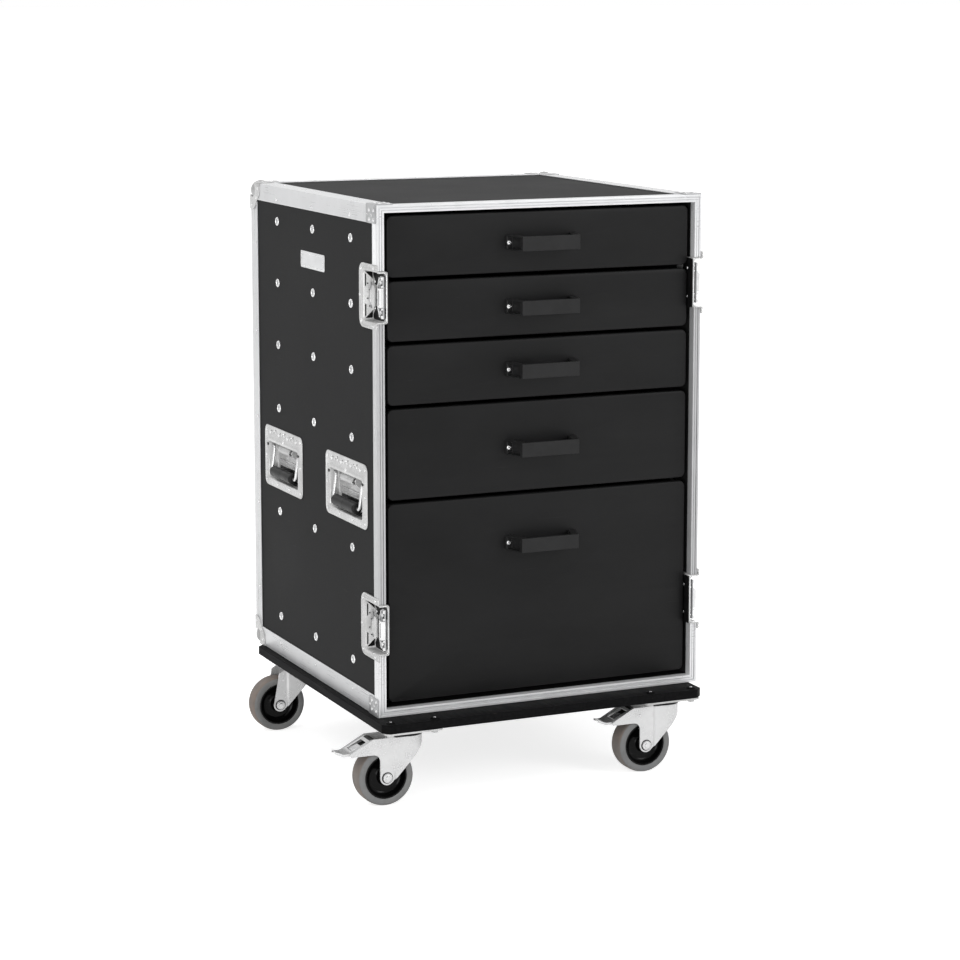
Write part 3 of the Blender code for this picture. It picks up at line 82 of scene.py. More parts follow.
AXLE = 0.050
CROWN = 0.1185


def at(x, y, z):
    """A point of the body's frame in the world."""
    return BODY_ORIGIN + Vector((x, y, z))


def side_at(side, outward, y, z):
    """A point near one side, measured outward from the face of its extrusions."""
    return at(side * (HALF + outward), y, z)


def body_frame(x, y, z):
    """Like at(), measured from a point of the body's frame."""
    return lambda a, b, c: at(x + a, y + b, z + c)


def side_frame(side, y, z, out=0.0):
    """Like side_at(), measured from a point near one side."""
    return lambda a, b, c: side_at(side, out + a, y + b, z + c)


# Materials

class Nodes:
    """A tree of shader nodes, and short ways to add to it."""

    def __init__(self, tree):
        self.tree = tree

    def node(self, kind, inputs, output=0, **settings):
        """Adds a node, links or sets its inputs, and returns one output."""
        made = self.tree.nodes.new(kind)
        for key, value in settings.items():
            setattr(made, key, value)
        for key, value in inputs.items():
            if isinstance(value, bpy.types.NodeSocket):
                self.tree.links.new(value, made.inputs[key])
            else:
                made.inputs[key].default_value = value
        return made.outputs[output]

    def span(self, value, low, high, start, end):
        """Turns low..high of a value into start..end, and stops there."""
        inputs = {"Value": value, "From Min": low, "From Max": high, "To Min": start, "To Max": end}
        return self.node("ShaderNodeMapRange", inputs)

    def math(self, operation, first, second):
        """A sum, product or other pair operation."""
        return self.node("ShaderNodeMath", {0: first, 1: second}, operation=operation)

    def seen(self):
        """One where a surface is seen, mirrored or seen through glass, and zero where it gives light."""
        ray = self.tree.nodes.new("ShaderNodeLightPath").outputs
        direct = self.math("MAXIMUM", ray["Is Camera Ray"], ray["Is Glossy Ray"])
        return self.math("MAXIMUM", direct, ray["Is Transmission Ray"])


class Look(Nodes):
    """One material: a Principled shader with the textures that drive it."""

    def __init__(self, name, colour, roughness, metallic=0.0, specular=0.5, ior=1.45):
        self.material = bpy.data.materials.new(name)
        self.material.use_nodes = True
        super().__init__(self.material.node_tree)
        self.shader = self.tree.nodes["Principled BSDF"]
        self.set("Base Color", (*colour, 1.0))
        self.set("Roughness", roughness)
        self.set("Metallic", metallic)
        self.set("Specular IOR Level", specular)
        self.set("IOR", ior)
        self.place = self.tree.nodes.new("ShaderNodeTexCoord").outputs["Object"]
        self.normal = None

    def set(self, socket, value):
        """A value that is the same all over the surface."""
        self.shader.inputs[socket].default_value = value

    def drive(self, socket, output):
        """Drives a socket of the shader."""
        self.tree.links.new(output, self.shader.inputs[socket])

    def scaled(self, stretch):
        """Object coordinates, scaled evenly or by axis."""
        if isinstance(stretch, float):
            stretch = (stretch,) * 3
        return self.node("ShaderNodeMapping", {"Vector": self.place, "Scale": stretch})

    def noise(self, stretch, detail=3.0, roughness=0.55):
        """A noise, its scale in cells per metre."""
        inputs = {"Vector": self.scaled(stretch), "Scale": 1.0, "Detail": detail, "Roughness": roughness}
        return self.node("ShaderNodeTexNoise", inputs)

    def mix(self, factor, first, second):
        """A blend of two colours."""
        pair = [c if isinstance(c, bpy.types.NodeSocket) else (*c, 1.0) for c in (first, second)]
        return self.node("ShaderNodeMix", {0: factor, 6: pair[0], 7: pair[1]}, 2, data_type="RGBA")

    def blend(self, value, low, high, first, second):
        """A blend of two colours as a value goes from low to high."""
        return self.mix(self.span(value, low, high, 0.0, 1.0), first, second)

    def rough(self, first, second):
        """Drives the roughness with a sum."""
        self.drive("Roughness", self.math("ADD", first, second))

    def bump(self, height, distance, strength):
        """Adds a bump of a height in metres."""
        inputs = {"Height": height, "Distance": distance, "Strength": strength}
        if self.normal is not None:
            inputs["Normal"] = self.normal
        self.normal = self.node("ShaderNodeBump", inputs)
        self.drive("Normal", self.normal)


def toned(colour, share):
    """A colour made brighter or darker."""
    return tuple(share * c for c in colour)


def laminate_look():
    """Black laminate: a fine pebbled skin, cloudy sheen and a few pale rubs."""
    colour, roughness = (0.0225, 0.0225, 0.0229), 0.62
    look = Look("laminate", colour, roughness, specular=0.12, ior=1.25)
    cloud = look.noise(3.0, 4.0)
    grit = look.noise(420.0, 2.0)
    rub = look.span(look.noise((9.0, 9.0, 160.0), 3.0, 0.7), 0.66, 0.80, 0.0, 0.35)
    shade = look.blend(cloud, 0.35, 0.65, colour, toned(colour, 1.25))
    look.drive("Base Color", look.mix(rub, shade, (0.058, 0.058, 0.059)))
    sheen = look.span(cloud, 0.3, 0.7, roughness - 0.05, roughness + 0.06)
    look.rough(sheen, look.span(grit, 0.3, 0.7, -0.03, 0.03))
    pebbles = look.node("ShaderNodeTexVoronoi", {"Vector": look.scaled(750.0), "Scale": 1.0})
    look.bump(pebbles, 0.00004, 0.6)
    look.bump(look.noise(60.0, 2.0), 0.00010, 0.5)
    return look.material


def drawer_look():
    """Satin black drawer board: faint scuffs and smears across a smooth film."""
    colour = (0.0070, 0.0070, 0.0072)
    look = Look("drawer_film", colour, 0.40, specular=0.15)
    cloud = look.noise((4.0, 4.0, 7.0), 4.0)
    smear = look.noise((5.0, 40.0, 90.0), 5.0, 0.7)
    scuff = look.span(look.noise((14.0, 60.0, 420.0), 3.0, 0.6), 0.70, 0.80, 0.0, 0.30)
    shade = look.blend(cloud, 0.35, 0.65, colour, (0.0110, 0.0110, 0.0113))
    look.drive("Base Color", look.mix(scuff, shade, (0.045, 0.045, 0.046)))
    look.rough(look.span(smear, 0.35, 0.65, 0.36, 0.47), look.span(cloud, 0.35, 0.65, -0.03, 0.04))
    look.bump(look.noise(300.0, 2.0), 0.00002, 0.5)
    look.bump(smear, 0.00006, 0.4)
    return look.material


def extrusion_look(name, direction, tone=1.0):
    """Aluminium extrusion: faint drawing lines along its length, small nicks and a milky film; tone gives
    lighter or darker copies, used as painted light and shade.
    """
    colour = toned((0.74, 0.744, 0.752), tone)
    look = Look(name, colour, 0.30, 0.3)
    lines = [700.0] * 3
    lines[direction] = 4.0
    line = look.noise(lines, 3.0, 0.6)
    cloud = look.noise(14.0, 4.0)
    nick = look.span(look.noise(160.0, 2.0), 0.68, 0.76, 0.0, 1.0)
    shade = look.blend(cloud, 0.3, 0.7, toned(colour, 0.892), colour)
    look.drive("Base Color", look.mix(look.math("MULTIPLY", nick, 0.35), shade, (0.40, 0.40, 0.41)))
    look.rough(look.span(line, 0.3, 0.7, 0.25, 0.36), look.span(cloud, 0.3, 0.7, -0.03, 0.05))
    look.bump(line, 0.00003, 0.35)
    look.bump(nick, 0.00005, 0.4)
    return look.material


def zinc_look(name, colour, dull, roughness, wave=0.00012, metallic=0.3):
    """Zinc-plated pressed steel: cloudy brightness, fine pitting and slightly uneven sheet."""
    look = Look(name, colour, roughness, metallic)
    cloud = look.noise(34.0, 5.0, 0.6)
    speck = look.noise(900.0, 2.0)
    stain = look.span(look.noise(22.0, 6.0, 0.7), 0.60, 0.74, 0.0, 0.5)
    shade = look.blend(cloud, 0.35, 0.65, dull, colour)
    look.drive("Base Color", look.mix(stain, shade, toned(dull, 0.8)))
    sheen = look.span(cloud, 0.3, 0.7, roughness + 0.07, roughness - 0.05)
    look.rough(sheen, look.span(speck, 0.3, 0.7, -0.04, 0.05))
    look.bump(look.noise(90.0, 2.0), wave, 0.35)
    look.bump(speck, 0.00002, 0.5)
    return look.material


def board_look():
    """Painted plywood: brushed-on black, with grain and layers that show through on the edges."""
    colour = (0.0050, 0.0050, 0.0052)
    look = Look("board_paint", colour, 0.55, specular=0.12, ior=1.2)
    grain = look.noise((160.0, 9.0, 160.0), 4.0, 0.6)
    inputs = {"Vector": look.scaled(1.0), "Scale": 105.0, "Distortion": 0.6}
    layer = look.node("ShaderNodeTexWave", inputs, 1, bands_direction="Z")
    chip = look.span(look.noise((120.0, 120.0, 260.0), 3.0), 0.66, 0.72, 0.0, 0.6)
    shade = look.blend(grain, 0.35, 0.65, colour, (0.0095, 0.0095, 0.0100))
    look.drive("Base Color", look.mix(look.math("MULTIPLY", chip, layer), shade, (0.040, 0.035, 0.031)))
    look.drive("Roughness", look.span(grain, 0.3, 0.7, 0.45, 0.62))
    look.bump(grain, 0.00020, 0.5)
    look.bump(layer, 0.00015, 0.25)
    return look.material


def plastic_look(name, colour, roughness, grain, specular):
    """Moulded plastic: a fine spark-eroded grain and uneven sheen."""
    look = Look(name, colour, roughness, specular=specular)
    cloud = look.noise(40.0, 3.0)
    look.drive("Base Color", look.blend(cloud, 0.35, 0.65, colour, toned(colour, 1.3)))
    look.drive("Roughness", look.span(cloud, 0.3, 0.7, roughness - 0.05, roughness + 0.06))
    look.bump(look.noise(1100.0, 2.0), grain, 0.6)
    return look.material


def tyre_look(name, colour, warm, dirt):
    """Grey rubber: patches of a warmer tone and a film of dust."""
    look = Look(name, colour, 0.62, specular=0.30)
    dust = look.noise(60.0, 5.0, 0.65)
    tone = look.blend(look.noise(16.0, 3.0), 0.4, 0.65, colour, warm)
    look.drive("Base Color", look.mix(look.span(dust, 0.5, 0.72, 0.0, 0.5), tone, dirt))
    look.drive("Roughness", look.span(dust, 0.3, 0.7, 0.55, 0.74))
    look.bump(dust, 0.00012, 0.4)
    look.bump(look.noise(800.0, 2.0), 0.00003, 0.5)
    return look.material


LAMINATE = laminate_look()
DRAWER = drawer_look()
# The front frame's uprights take a darker copy of the extrusion and the lengths along X a brighter one:
# painted shade and painted light on the same metal.
SHADED_UPRIGHT = extrusion_look("extrusion_upright_shaded", 2, 0.68)
ALUMINIUM = {"X": extrusion_look("extrusion_x_lit", 0, 1.1), "Y": extrusion_look("extrusion_y", 1),
             "Z": extrusion_look("extrusion_z", 2)}
ZINC = zinc_look("zinc_sheet", (0.62, 0.62, 0.62), (0.48, 0.48, 0.477), 0.26)
# The balls take a darker, duller copy of the zinc: painted shade in place of the dark surroundings a bright
# ball would mirror.
SHADED_BALL_ZINC = zinc_look("ball_zinc_shaded", (0.46, 0.46, 0.46), (0.39, 0.39, 0.39), 0.22, 0.00004, 0.2)
BRIGHT = zinc_look("bright_steel", (0.70, 0.70, 0.70), (0.56, 0.56, 0.565), 0.18, 0.00004, 0.75)
RUNNER = zinc_look("runner_steel", (0.55, 0.56, 0.57), (0.45, 0.46, 0.47), 0.34, 0.00004, 0.8)
DARK_STEEL = zinc_look("shaded_steel", (0.44, 0.444, 0.45), (0.34, 0.344, 0.35), 0.34)
BOARD_PAINT = board_look()
PULL = plastic_look("pull_plastic", (0.013, 0.013, 0.0133), 0.42, 0.00003, 0.22)
FORK = zinc_look("fork_zinc", (0.68, 0.68, 0.682), (0.60, 0.60, 0.602), 0.22, 0.00003, 0.45)
HUB = plastic_look("hub_plastic", (0.0022, 0.0022, 0.0023), 0.16, 0.00001, 0.12)
SEAL = plastic_look("seal_plastic", (0.0045, 0.0045, 0.0046), 0.50, 0.00003, 0.2)
GRIP = plastic_look("grip_rubber", (0.0060, 0.0060, 0.0062), 0.46, 0.00006, 0.2)
TYRE = tyre_look("tyre_rubber", (0.215, 0.195, 0.180), (0.255, 0.207, 0.179), (0.158, 0.151, 0.146))
WALL = tyre_look("tyre_wall_rubber", (0.215, 0.217, 0.220), (0.234, 0.234, 0.231), (0.166, 0.166, 0.164))


# Building blocks: each adds a body to a bmesh

def mm(*points):
    """Points given in millimetres, in metres."""
    return [tuple(value / 1000 for value in point) for point in points]


def arc(a, b, radius, first, last, steps):
    """Points of an arc in a plane, from one angle to another in degrees."""
    angles = [math.radians(first + (last - first) * i / steps) for i in range(steps + 1)]
    return [(a + radius * math.cos(t), b + radius * math.sin(t)) for t in angles]


def rounded(low, high, radius, steps=4):
    """Outline of a rectangle with rounded corners."""
    points = arc(high[0] - radius, low[1] + radius, radius, -90, 0, steps)
    points += arc(high[0] - radius, high[1] - radius, radius, 0, 90, steps)
    points += arc(low[0] + radius, high[1] - radius, radius, 90, 180, steps)
    points += arc(low[0] + radius, low[1] + radius, radius, 180, 270, steps)
    return points


def skin(bm, loops, ring=True, caps=True, around=False):
    """Skins a row of point loops; open loops give a sheet, closed ones a body."""
    rows = [[bm.verts.new(point) for point in loop] for loop in loops]
    count = len(rows[0])
    following = rows[1:] + (rows[:1] if around else [])
    for near, far in zip(rows, following):
        for i in range(count if ring else count - 1):
            j = (i + 1) % count
            bm.faces.new((near[i], near[j], far[j], far[i]))
    if caps and not around:
        bm.faces.new(rows[0])
        bm.faces.new(rows[-1])
    return rows


def prism(bm, place, axis, outline, ends):
    """A body between two ends with one outline; its length takes the axis-th input of place()."""
    skin(bm, [[place(*point[:axis], end, *point[axis:]) for point in outline] for end in ends])


def box(low, high):
    """Outline of a plain rectangle."""
    return (low, (high[0], low[1]), high, (low[0], high[1]))


def block(bm, first, second):
    """A box between two points of the body's frame."""
    low, high = zip(*(sorted(pair) for pair in zip(first, second)))
    prism(bm, at, 2, box(low[:2], high[:2]), (low[2], high[2]))


def turned(bm, centre, normal, profile, sides=16):
    """Turns a profile of (radius, height) points about a normal."""
    normal = Vector(normal).normalized()
    upright = Vector((0, 0, 1)) if abs(normal.z) < 0.9 else Vector((0, 1, 0))
    across = upright.cross(normal).normalized()
    upright = normal.cross(across)
    rows = []
    for radius, height in profile:
        middle = Vector(centre) + normal * height
        row = []
        for i in range(sides if radius else 1):
            t = 2 * math.pi * (i + 0.5) / sides
            point = middle + across * radius * math.cos(t) + upright * radius * math.sin(t)
            row.append(bm.verts.new(point))
        rows.append(row)
    for near, far in zip(rows, rows[1:]):
        for i in range(sides):
            j = (i + 1) % sides
            if len(near) == 1:
                bm.faces.new((near[0], far[j], far[i]))
            elif len(far) == 1:
                bm.faces.new((near[i], near[j], far[0]))
            else:
                bm.faces.new((near[i], near[j], far[j], far[i]))
    for row in (rows[0], rows[-1]):
        if len(row) > 1:
            bm.faces.new(row)


def lathe(bm, centre, normal, profile, sides):
    """Turns a closed profile of (radius, height) points about an axis into a ring."""
    normal = Vector(normal).normalized()
    across = normal.orthogonal().normalized()
    upright = normal.cross(across)
    loops = []
    for i in range(sides):
        t = 2 * math.pi * i / sides
        spoke = across * math.cos(t) + upright * math.sin(t)
        loops.append([Vector(centre) + spoke * radius + normal * height for radius, height in profile])
    skin(bm, loops, around=True)


def rod(bm, path, radius, sides, reference):
    """A round rod along a path; reference is a direction that the path never follows."""
    reference = Vector(reference)
    loops = []
    for i, point in enumerate(path):
        before, after = path[max(i - 1, 0)], path[min(i + 1, len(path) - 1)]
        along = (after - before).normalized()
        across = along.cross(reference).normalized()
        upright = across.cross(along)
        loop = []
        for k in range(sides):
            t = 2 * math.pi * k / sides
            loop.append(point + (across * math.cos(t) + upright * math.sin(t)) * radius)
        loops.append(loop)
    skin(bm, loops)


def plate(bm, outline, normal, thickness, edge):
    """A flat plate with eased upper edges, from its outline on the surface that it lies on."""
    normal = Vector(normal).normalized()
    middle = sum(outline, Vector()) / len(outline)
    loops = [outline]
    for inward, down in ((0.0, 1.0), (0.3, 0.3), (1.0, 0.0)):
        rise = normal * (thickness - down * edge)
        loops.append([p + (middle - p).normalized() * inward * edge + rise for p in outline])
    skin(bm, loops)


def rivet(bm, centre, normal, radius, height, sides=14):
    """A domed rivet head."""
    shares = ((1.0, -0.3), (1.0, 0.15), (0.93, 0.50), (0.72, 0.84), (0.40, 1.0), (0.0, 1.04))
    turned(bm, centre, normal, [(radius * r, height * h) for r, h in shares], sides)


def mesh_of(bm):
    """A mesh from a bmesh, with its faces pointing out."""
    bmesh.ops.recalc_face_normals(bm, faces=bm.faces)
    mesh = bpy.data.meshes.new("mesh")
    bm.to_mesh(mesh)
    bm.free()
    return mesh


def solid(place, axis, *bodies):
    """A mesh of prisms, each an outline and its two ends."""
    bm = bmesh.new()
    for outline, ends in bodies:
        prism(bm, place, axis, outline, ends)
    return mesh_of(bm)


def combined(mesh, tool, operation="DIFFERENCE"):
    """A mesh cut by, joined to or kept inside a tool."""
    body = bpy.data.objects.new("body", mesh)
    cutter = bpy.data.objects.new("cutter", tool)
    for thing in (body, cutter):
        bpy.context.scene.collection.objects.link(thing)
    modifier = body.modifiers.new("combine", "BOOLEAN")
    modifier.solver = "EXACT"
    modifier.operation = operation
    modifier.object = cutter
    shaped = body.evaluated_get(bpy.context.evaluated_depsgraph_get())
    result = bpy.data.meshes.new_from_object(shaped)
    for thing in (body, cutter):
        bpy.data.objects.remove(thing, do_unlink=True)
    return result


def soften(thing, width, angle, tidy=False):
    """Eases the edges of a piece so that they catch the light."""
    if tidy:
        flat = thing.modifiers.new("flat", "DECIMATE")
        flat.decimate_type = "DISSOLVE"
        flat.angle_limit = math.radians(1.0)
    bevel = thing.modifiers.new("ease", "BEVEL")
    bevel.width = width
    bevel.segments = 2
    bevel.limit_method = "ANGLE"
    bevel.angle_limit = math.radians(angle)
    bevel.harden_normals = True
    bevel.use_clamp_overlap = True


def piece(name, made, look, body, nodes=(), ease=0.0, angle=32.0, sheet_facing=None):
    """Puts a piece in the scene on its body, with its material."""
    mesh = made if isinstance(made, bpy.types.Mesh) else mesh_of(made)
    mesh.name = name
    mesh.materials.clear()
    mesh.materials.append(look)
    thing = bpy.data.objects.new(name, mesh)
    bpy.context.scene.collection.objects.link(thing)
    mesh.shade_smooth()
    if sheet_facing:
        largest = max(mesh.polygons, key=lambda face: face.area)
        if largest.normal.dot(Vector(sheet_facing)) < 0:
            mesh.flip_normals()
        sheet = thing.modifiers.new("sheet", "SOLIDIFY")
        sheet.thickness = SHEET
        sheet.offset = -1.0
        sheet.use_even_offset = True
    if ease:
        soften(thing, ease, angle)
    else:
        mesh.set_sharp_from_angle(angle=math.radians(angle))
    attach(thing, body)
    if nodes:
        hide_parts(*nodes)
    return thing


def dress(node, look, ease=0.0):
    """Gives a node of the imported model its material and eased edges."""
    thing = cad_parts[node]
    thing.data.materials.clear()
    thing.data.materials.append(look)
    if ease:
        soften(thing, ease, 32.0, tidy=True)

# Profiles of (radius, height) for round heads

RIVET_RIM = mm((7.8, -0.4), (7.8, 0.6), (7.3, 1.5), (6.2, 2.1), (5, 1.9), (4.5, 1))
RIVET_MIDDLE = mm((4.7, 0), (4.5, 1.1), (2.8, 1.3), (2.2, 1.9), (1.2, 2.1), (0, 1.9))
BRACE_DIMPLE = mm((2.6, 0), (2.6, 0.5), (1.9, 0.8), (1.3, 0.4), (0, 0.2))
PULL_SCREW = mm((4.1, -1), (4.1, 0.6), (3.7, 1.4), (2.6, 2.1), (0, 2.4))
PAN_DIMPLE = mm((3.4, 0), (3.2, 0.8), (2.4, 1.4), (1.2, 1), (0, 0.8))
PAN_BOSS = mm((11, 0), (11, 3.4), (10.4, 4))
PAN_DOT = mm((1.3, 0), (1.3, 0.4), (0, 0.5))
HOOK_RING = mm((4.2, -1.4), (4.2, 1.2), (3.4, 2), (2.2, 1.4), (0, 1))
BOARD_BOLT = mm((8, -1), (8, 0.5), (7.4, 1.3), (5.5, 2.1), (3, 2.4), (0, 2.4))
# A bright dot on each board bolt: painted highlight.
BOARD_BOLT_HIGHLIGHT = mm((2.4, 2.2), (2.2, 2.7), (0, 2.8))
# A dark ring under each axle head: painted shadow round the head.
HEAD_SHADE_RING = mm((9.8, -0.3), (9.8, 0.5), (9.4, 0.8))
AXLE_HEAD = mm((8.4, 0.5), (8.4, 2), (7.8, 3), (6.4, 3.4), (6, 2.8), (4.4, 2.8), (4, 4), (3, 4.4), (0, 4.4))
FORK_MARK = mm((2.4, -0.2), (1.8, 0.6), (0, 0.9))
POP_RIVET = (0.0031, 0.0012)
CORNER_RIVET = (0.0030, 0.0012)
BRACE_RIVET = (0.0032, 0.0013)


# Case body

def make_side_panel(side_name, side):
    """A side panel cut out for its dishes, its rivets, the spacer strips and the cabinet members."""
    bm = bmesh.new()
    block(bm, (side * PANEL_IN, 0.0038, 0.0018), (side * PANEL_OUT, 0.6102, HEIGHT - 0.0018))
    board = mesh_of(bm)
    bm = bmesh.new()
    near, far, past = side * 0.27, side * 0.32, 0.01
    middle, wide, high = HANDLE_LEVEL - POCKET_DROP, 0.0765, 0.0345
    for _, back in HANDLES:
        block(bm, (near, back - wide, middle - high), (far, back + wide, middle + high))
    for _, level in LATCHES:
        block(bm, (near, -past, level - LATCH_GAP), (far, 0.0650, level + LATCH_GAP))
    notch, tall = 0.0215, 0.0300
    for low in (notch - tall, HEIGHT - notch):
        block(bm, (near, DEPTH - notch, low), (far, DEPTH + past, low + tall))
    board = combined(board, mesh_of(bm))
    node = f"{side_name}_side_panel"
    piece(f"{side_name}_panel_board", board, LAMINATE, "case", [node], angle=30)
    rims, middles = bmesh.new(), bmesh.new()
    for level in RUNNERS + (0.0748,):
        for back in RIVET_COLUMNS:
            centre = side_at(side, PANEL_OUT - HALF, back, level)
            turned(rims, centre, (side, 0, 0), RIVET_RIM, 24)
            turned(middles, centre, (side, 0, 0), RIVET_MIDDLE, 16)
    piece(f"{side_name}_panel_rivets", rims, BRIGHT, "case", [node], angle=50)
    piece(f"{side_name}_rivet_middles", middles, DARK_STEEL, "case", [node], angle=50)
    strips, members = bmesh.new(), bmesh.new()
    inner, outer = side * SPACER_IN, side * (PANEL_IN + 0.0001)
    for level in RUNNERS:
        block(strips, (inner, 0.074, level - 0.022), (outer, 0.578, level + 0.022))
        section = channel(side, level, SPACER_IN + 0.0001, BOX_HALF + 0.0022, RUNNER_HALF, 0.0050)
        prism(members, at, 1, section, (0.076, 0.576))
    piece(f"{side_name}_spacer_strips", strips, DRAWER, "case", [node], ease=0.0006)
    piece(f"{side_name}_cabinet_members", members, RUNNER, "case", [node], ease=0.0003)


def channel(side, level, near, far, half_height, lip):
    """A C section of a runner, its web at the near distance and its flanges run to the far one."""
    s = SHEET if far > near else -SHEET
    inner = half_height - SHEET
    points = [(near, -half_height), (far, -half_height)]
    if lip:
        points += [(far, -inner + lip), (far - s, -inner + lip), (far - s, -inner), (near + s, -inner)]
        points += [(near + s, inner), (far - s, inner), (far - s, inner - lip), (far, inner - lip)]
    else:
        points += [(far, -inner), (near + s, -inner), (near + s, inner), (far, inner)]
    points += [(far, half_height), (near, half_height)]
    return [(side * a, level + b) for a, b in points]


def frame_section():
    """Section of the front extrusion: distance in from the outer edge, and depth from the face."""
    points = arc(0.0009, 0.0009, 0.0009, 180, 270, 3)
    points += mm((3.6, 0), (3.9, 0.4), (3.9, 3), (5, 3), (5, 1.4))
    points += mm((5.3, 1.1), (8.1, 1.1), (8.4, 1.4), (8.4, 3), (9.5, 3))
    points += mm((9.5, 0.4), (9.8, 0)) + arc(FACE - 0.0007, 0.0007, 0.0007, 270, 360, 3)
    points += [(FACE, 0.0155), (FACE - 0.0005, 0.0160), (FACE - 0.0010, 0.0160), (FACE - 0.0015, 0.0155)]
    points += [(FACE - 0.0015, 0.0038), (0.0015, 0.0038), (0.0015, FLANGE - 0.0005), (0.0010, FLANGE)]
    points += [(0.0005, FLANGE), (0.0, FLANGE - 0.0005)]
    deep = 0.0006
    for line in (0.0150, 0.0085):
        points += [(0.0, line + 0.0007), (deep, line + 0.0003), (deep, line - 0.0003), (0.0, line - 0.0007)]
    return points


def make_front_frame():
    """The front extrusion in four lengths, mitred at the corners and parted where the latches sit."""
    (_, low), (_, high) = LATCHES
    under, over = low - LATCH_GAP, high + LATCH_GAP
    above, below = low + LATCH_GAP, high - LATCH_GAP
    across = ALUMINIUM["X"]
    top = ((-HALF, over, 1, 0), (-HALF, HEIGHT, 1, -1), (HALF, HEIGHT, -1, -1), (HALF, over, -1, 0))
    bottom = ((-HALF, under, 1, 0), (-HALF, 0.0, 1, 1), (HALF, 0.0, -1, 1), (HALF, under, -1, 0))
    left, right = [((side * HALF, above, -side, 0), (side * HALF, below, -side, 0)) for _, side in SIDES]
    # The top and bottom lengths take the brighter copy and the uprights the darker one: painted light and
    # painted shade.
    lengths = {"top": (across, top), "bottom": (across, bottom)}
    lengths.update(left=(SHADED_UPRIGHT, left), right=(SHADED_UPRIGHT, right))
    section = frame_section()
    for name, (look, corners) in lengths.items():
        bm = bmesh.new()
        loops = []
        for x, z, in_x, in_z in corners:
            loops.append([at(x + in_x * inset, depth, z + in_z * inset) for inset, depth in section])
        skin(bm, loops)
        node = f"front_frame_{name}"
        piece(f"front_extrusion_{name}", bm, look, "case", [node], angle=28)


def angle_section(corner, ways, second=LEG):
    """Section of an edge angle from its outer corner and the way its legs run, with rounded edges."""
    r, wall, tip = 0.0012, 0.0015, 0.0005
    turns = [math.radians(angle) for angle in (90, 60, 30, 0)]
    points = [(r * (1 - math.sin(t)), r * (1 - math.cos(t))) for t in turns]
    points += [(LEG - 0.0032, 0.0), (LEG - 0.0026, -0.0003), (LEG - tip, -0.0003), (LEG, tip - 0.0003)]
    points += [(LEG, wall - tip), (LEG - tip, wall), (wall + tip, wall), (wall, wall + tip)]
    points += [(wall, second - tip), (wall - tip, second), (tip - 0.0003, second), (-0.0003, second - tip)]
    points += [(-0.0003, second - 0.0026), (0.0, second - 0.0032)]
    return [(corner[0] + ways[0] * a, corner[1] + ways[1] * b) for a, b in points]


def make_rails():
    """Side rails, rear uprights and cross rails of aluminium angle."""
    near, short, top_leg = FLANGE + 0.0003, 0.0343, 0.0308
    rails = []
    for side_name, side in SIDES:
        for row, z, up in ROWS:
            section = angle_section((side * HALF, z), (-side, up), top_leg if up < 0 else LEG)
            rails.append((f"side_rail_{row}_{side_name}", "Y", section, (near, DEPTH - short)))
        section = angle_section((side * HALF, DEPTH), (-side, -1))
        rails.append((f"rear_upright_{side_name}", "Z", section, (short, HEIGHT - short)))
    for row, z, up in ROWS:
        section = angle_section((DEPTH, z), (-1, up))
        rails.append((f"rear_rail_{row}", "X", section, (-HALF + short, HALF - short)))
    for name, along, section, ends in rails:
        mesh = solid(at, "XYZ".index(along), (section, ends))
        piece(name, mesh, ALUMINIUM[along], "case", ["edge_angles"], angle=28)


def make_rail_rivets():
    """Small pop rivets in the extrusions; the side rails have theirs in line with the large side rivets."""
    bm = bmesh.new()
    seat = 0.0240
    for _, side in SIDES:
        for _, z, up in ROWS:
            for y in RIVET_COLUMNS:
                rivet(bm, at(side * HALF, y, z + up * seat), (side, 0, 0), *POP_RIVET)
                if up < 0:
                    rivet(bm, at(side * (HALF - seat), y + 0.02, z), (0, 0, 1), *POP_RIVET)
        for z in (0.110, 0.270, 0.430, 0.590, 0.750):
            rivet(bm, at(side * HALF, DEPTH - seat, z), (side, 0, 0), *POP_RIVET)
            rivet(bm, at(side * (HALF - seat), DEPTH, z + 0.02), (0, 1, 0), *POP_RIVET)
    for _, z, up in ROWS:
        for x in (-0.20, -0.10, 0.0, 0.10, 0.20):
            rivet(bm, at(x, DEPTH, z + up * seat), (0, 1, 0), *POP_RIVET)
            rivet(bm, at(x + 0.015, DEPTH - seat, z), (0, 0, -up), *POP_RIVET)
    piece("rail_rivets", bm, BRIGHT, "case", angle=50)


def leaf(u, v):
    """Outline of one leaf of a ball corner on the plane of two edges, bitten out round the ball."""
    points = mm((22.8, -1), (49, -1), (50, 4), (49.5, 13), (46.5, 21))
    points += mm((41, 27.5), (34.5, 32.5), (32.5, 34.5), (27.5, 41), (21, 46.5))
    points += mm((13, 49.5), (4, 50), (-1, 49), (-1, 22.8))
    bite = mm((24.7, 5), (25.9, 10), (26.2, 14.5), (25, 19.5), (23, 23))
    points += [(b, a) for a, b in bite] + bite[-2::-1]
    return [u * a + v * b for a, b in points]


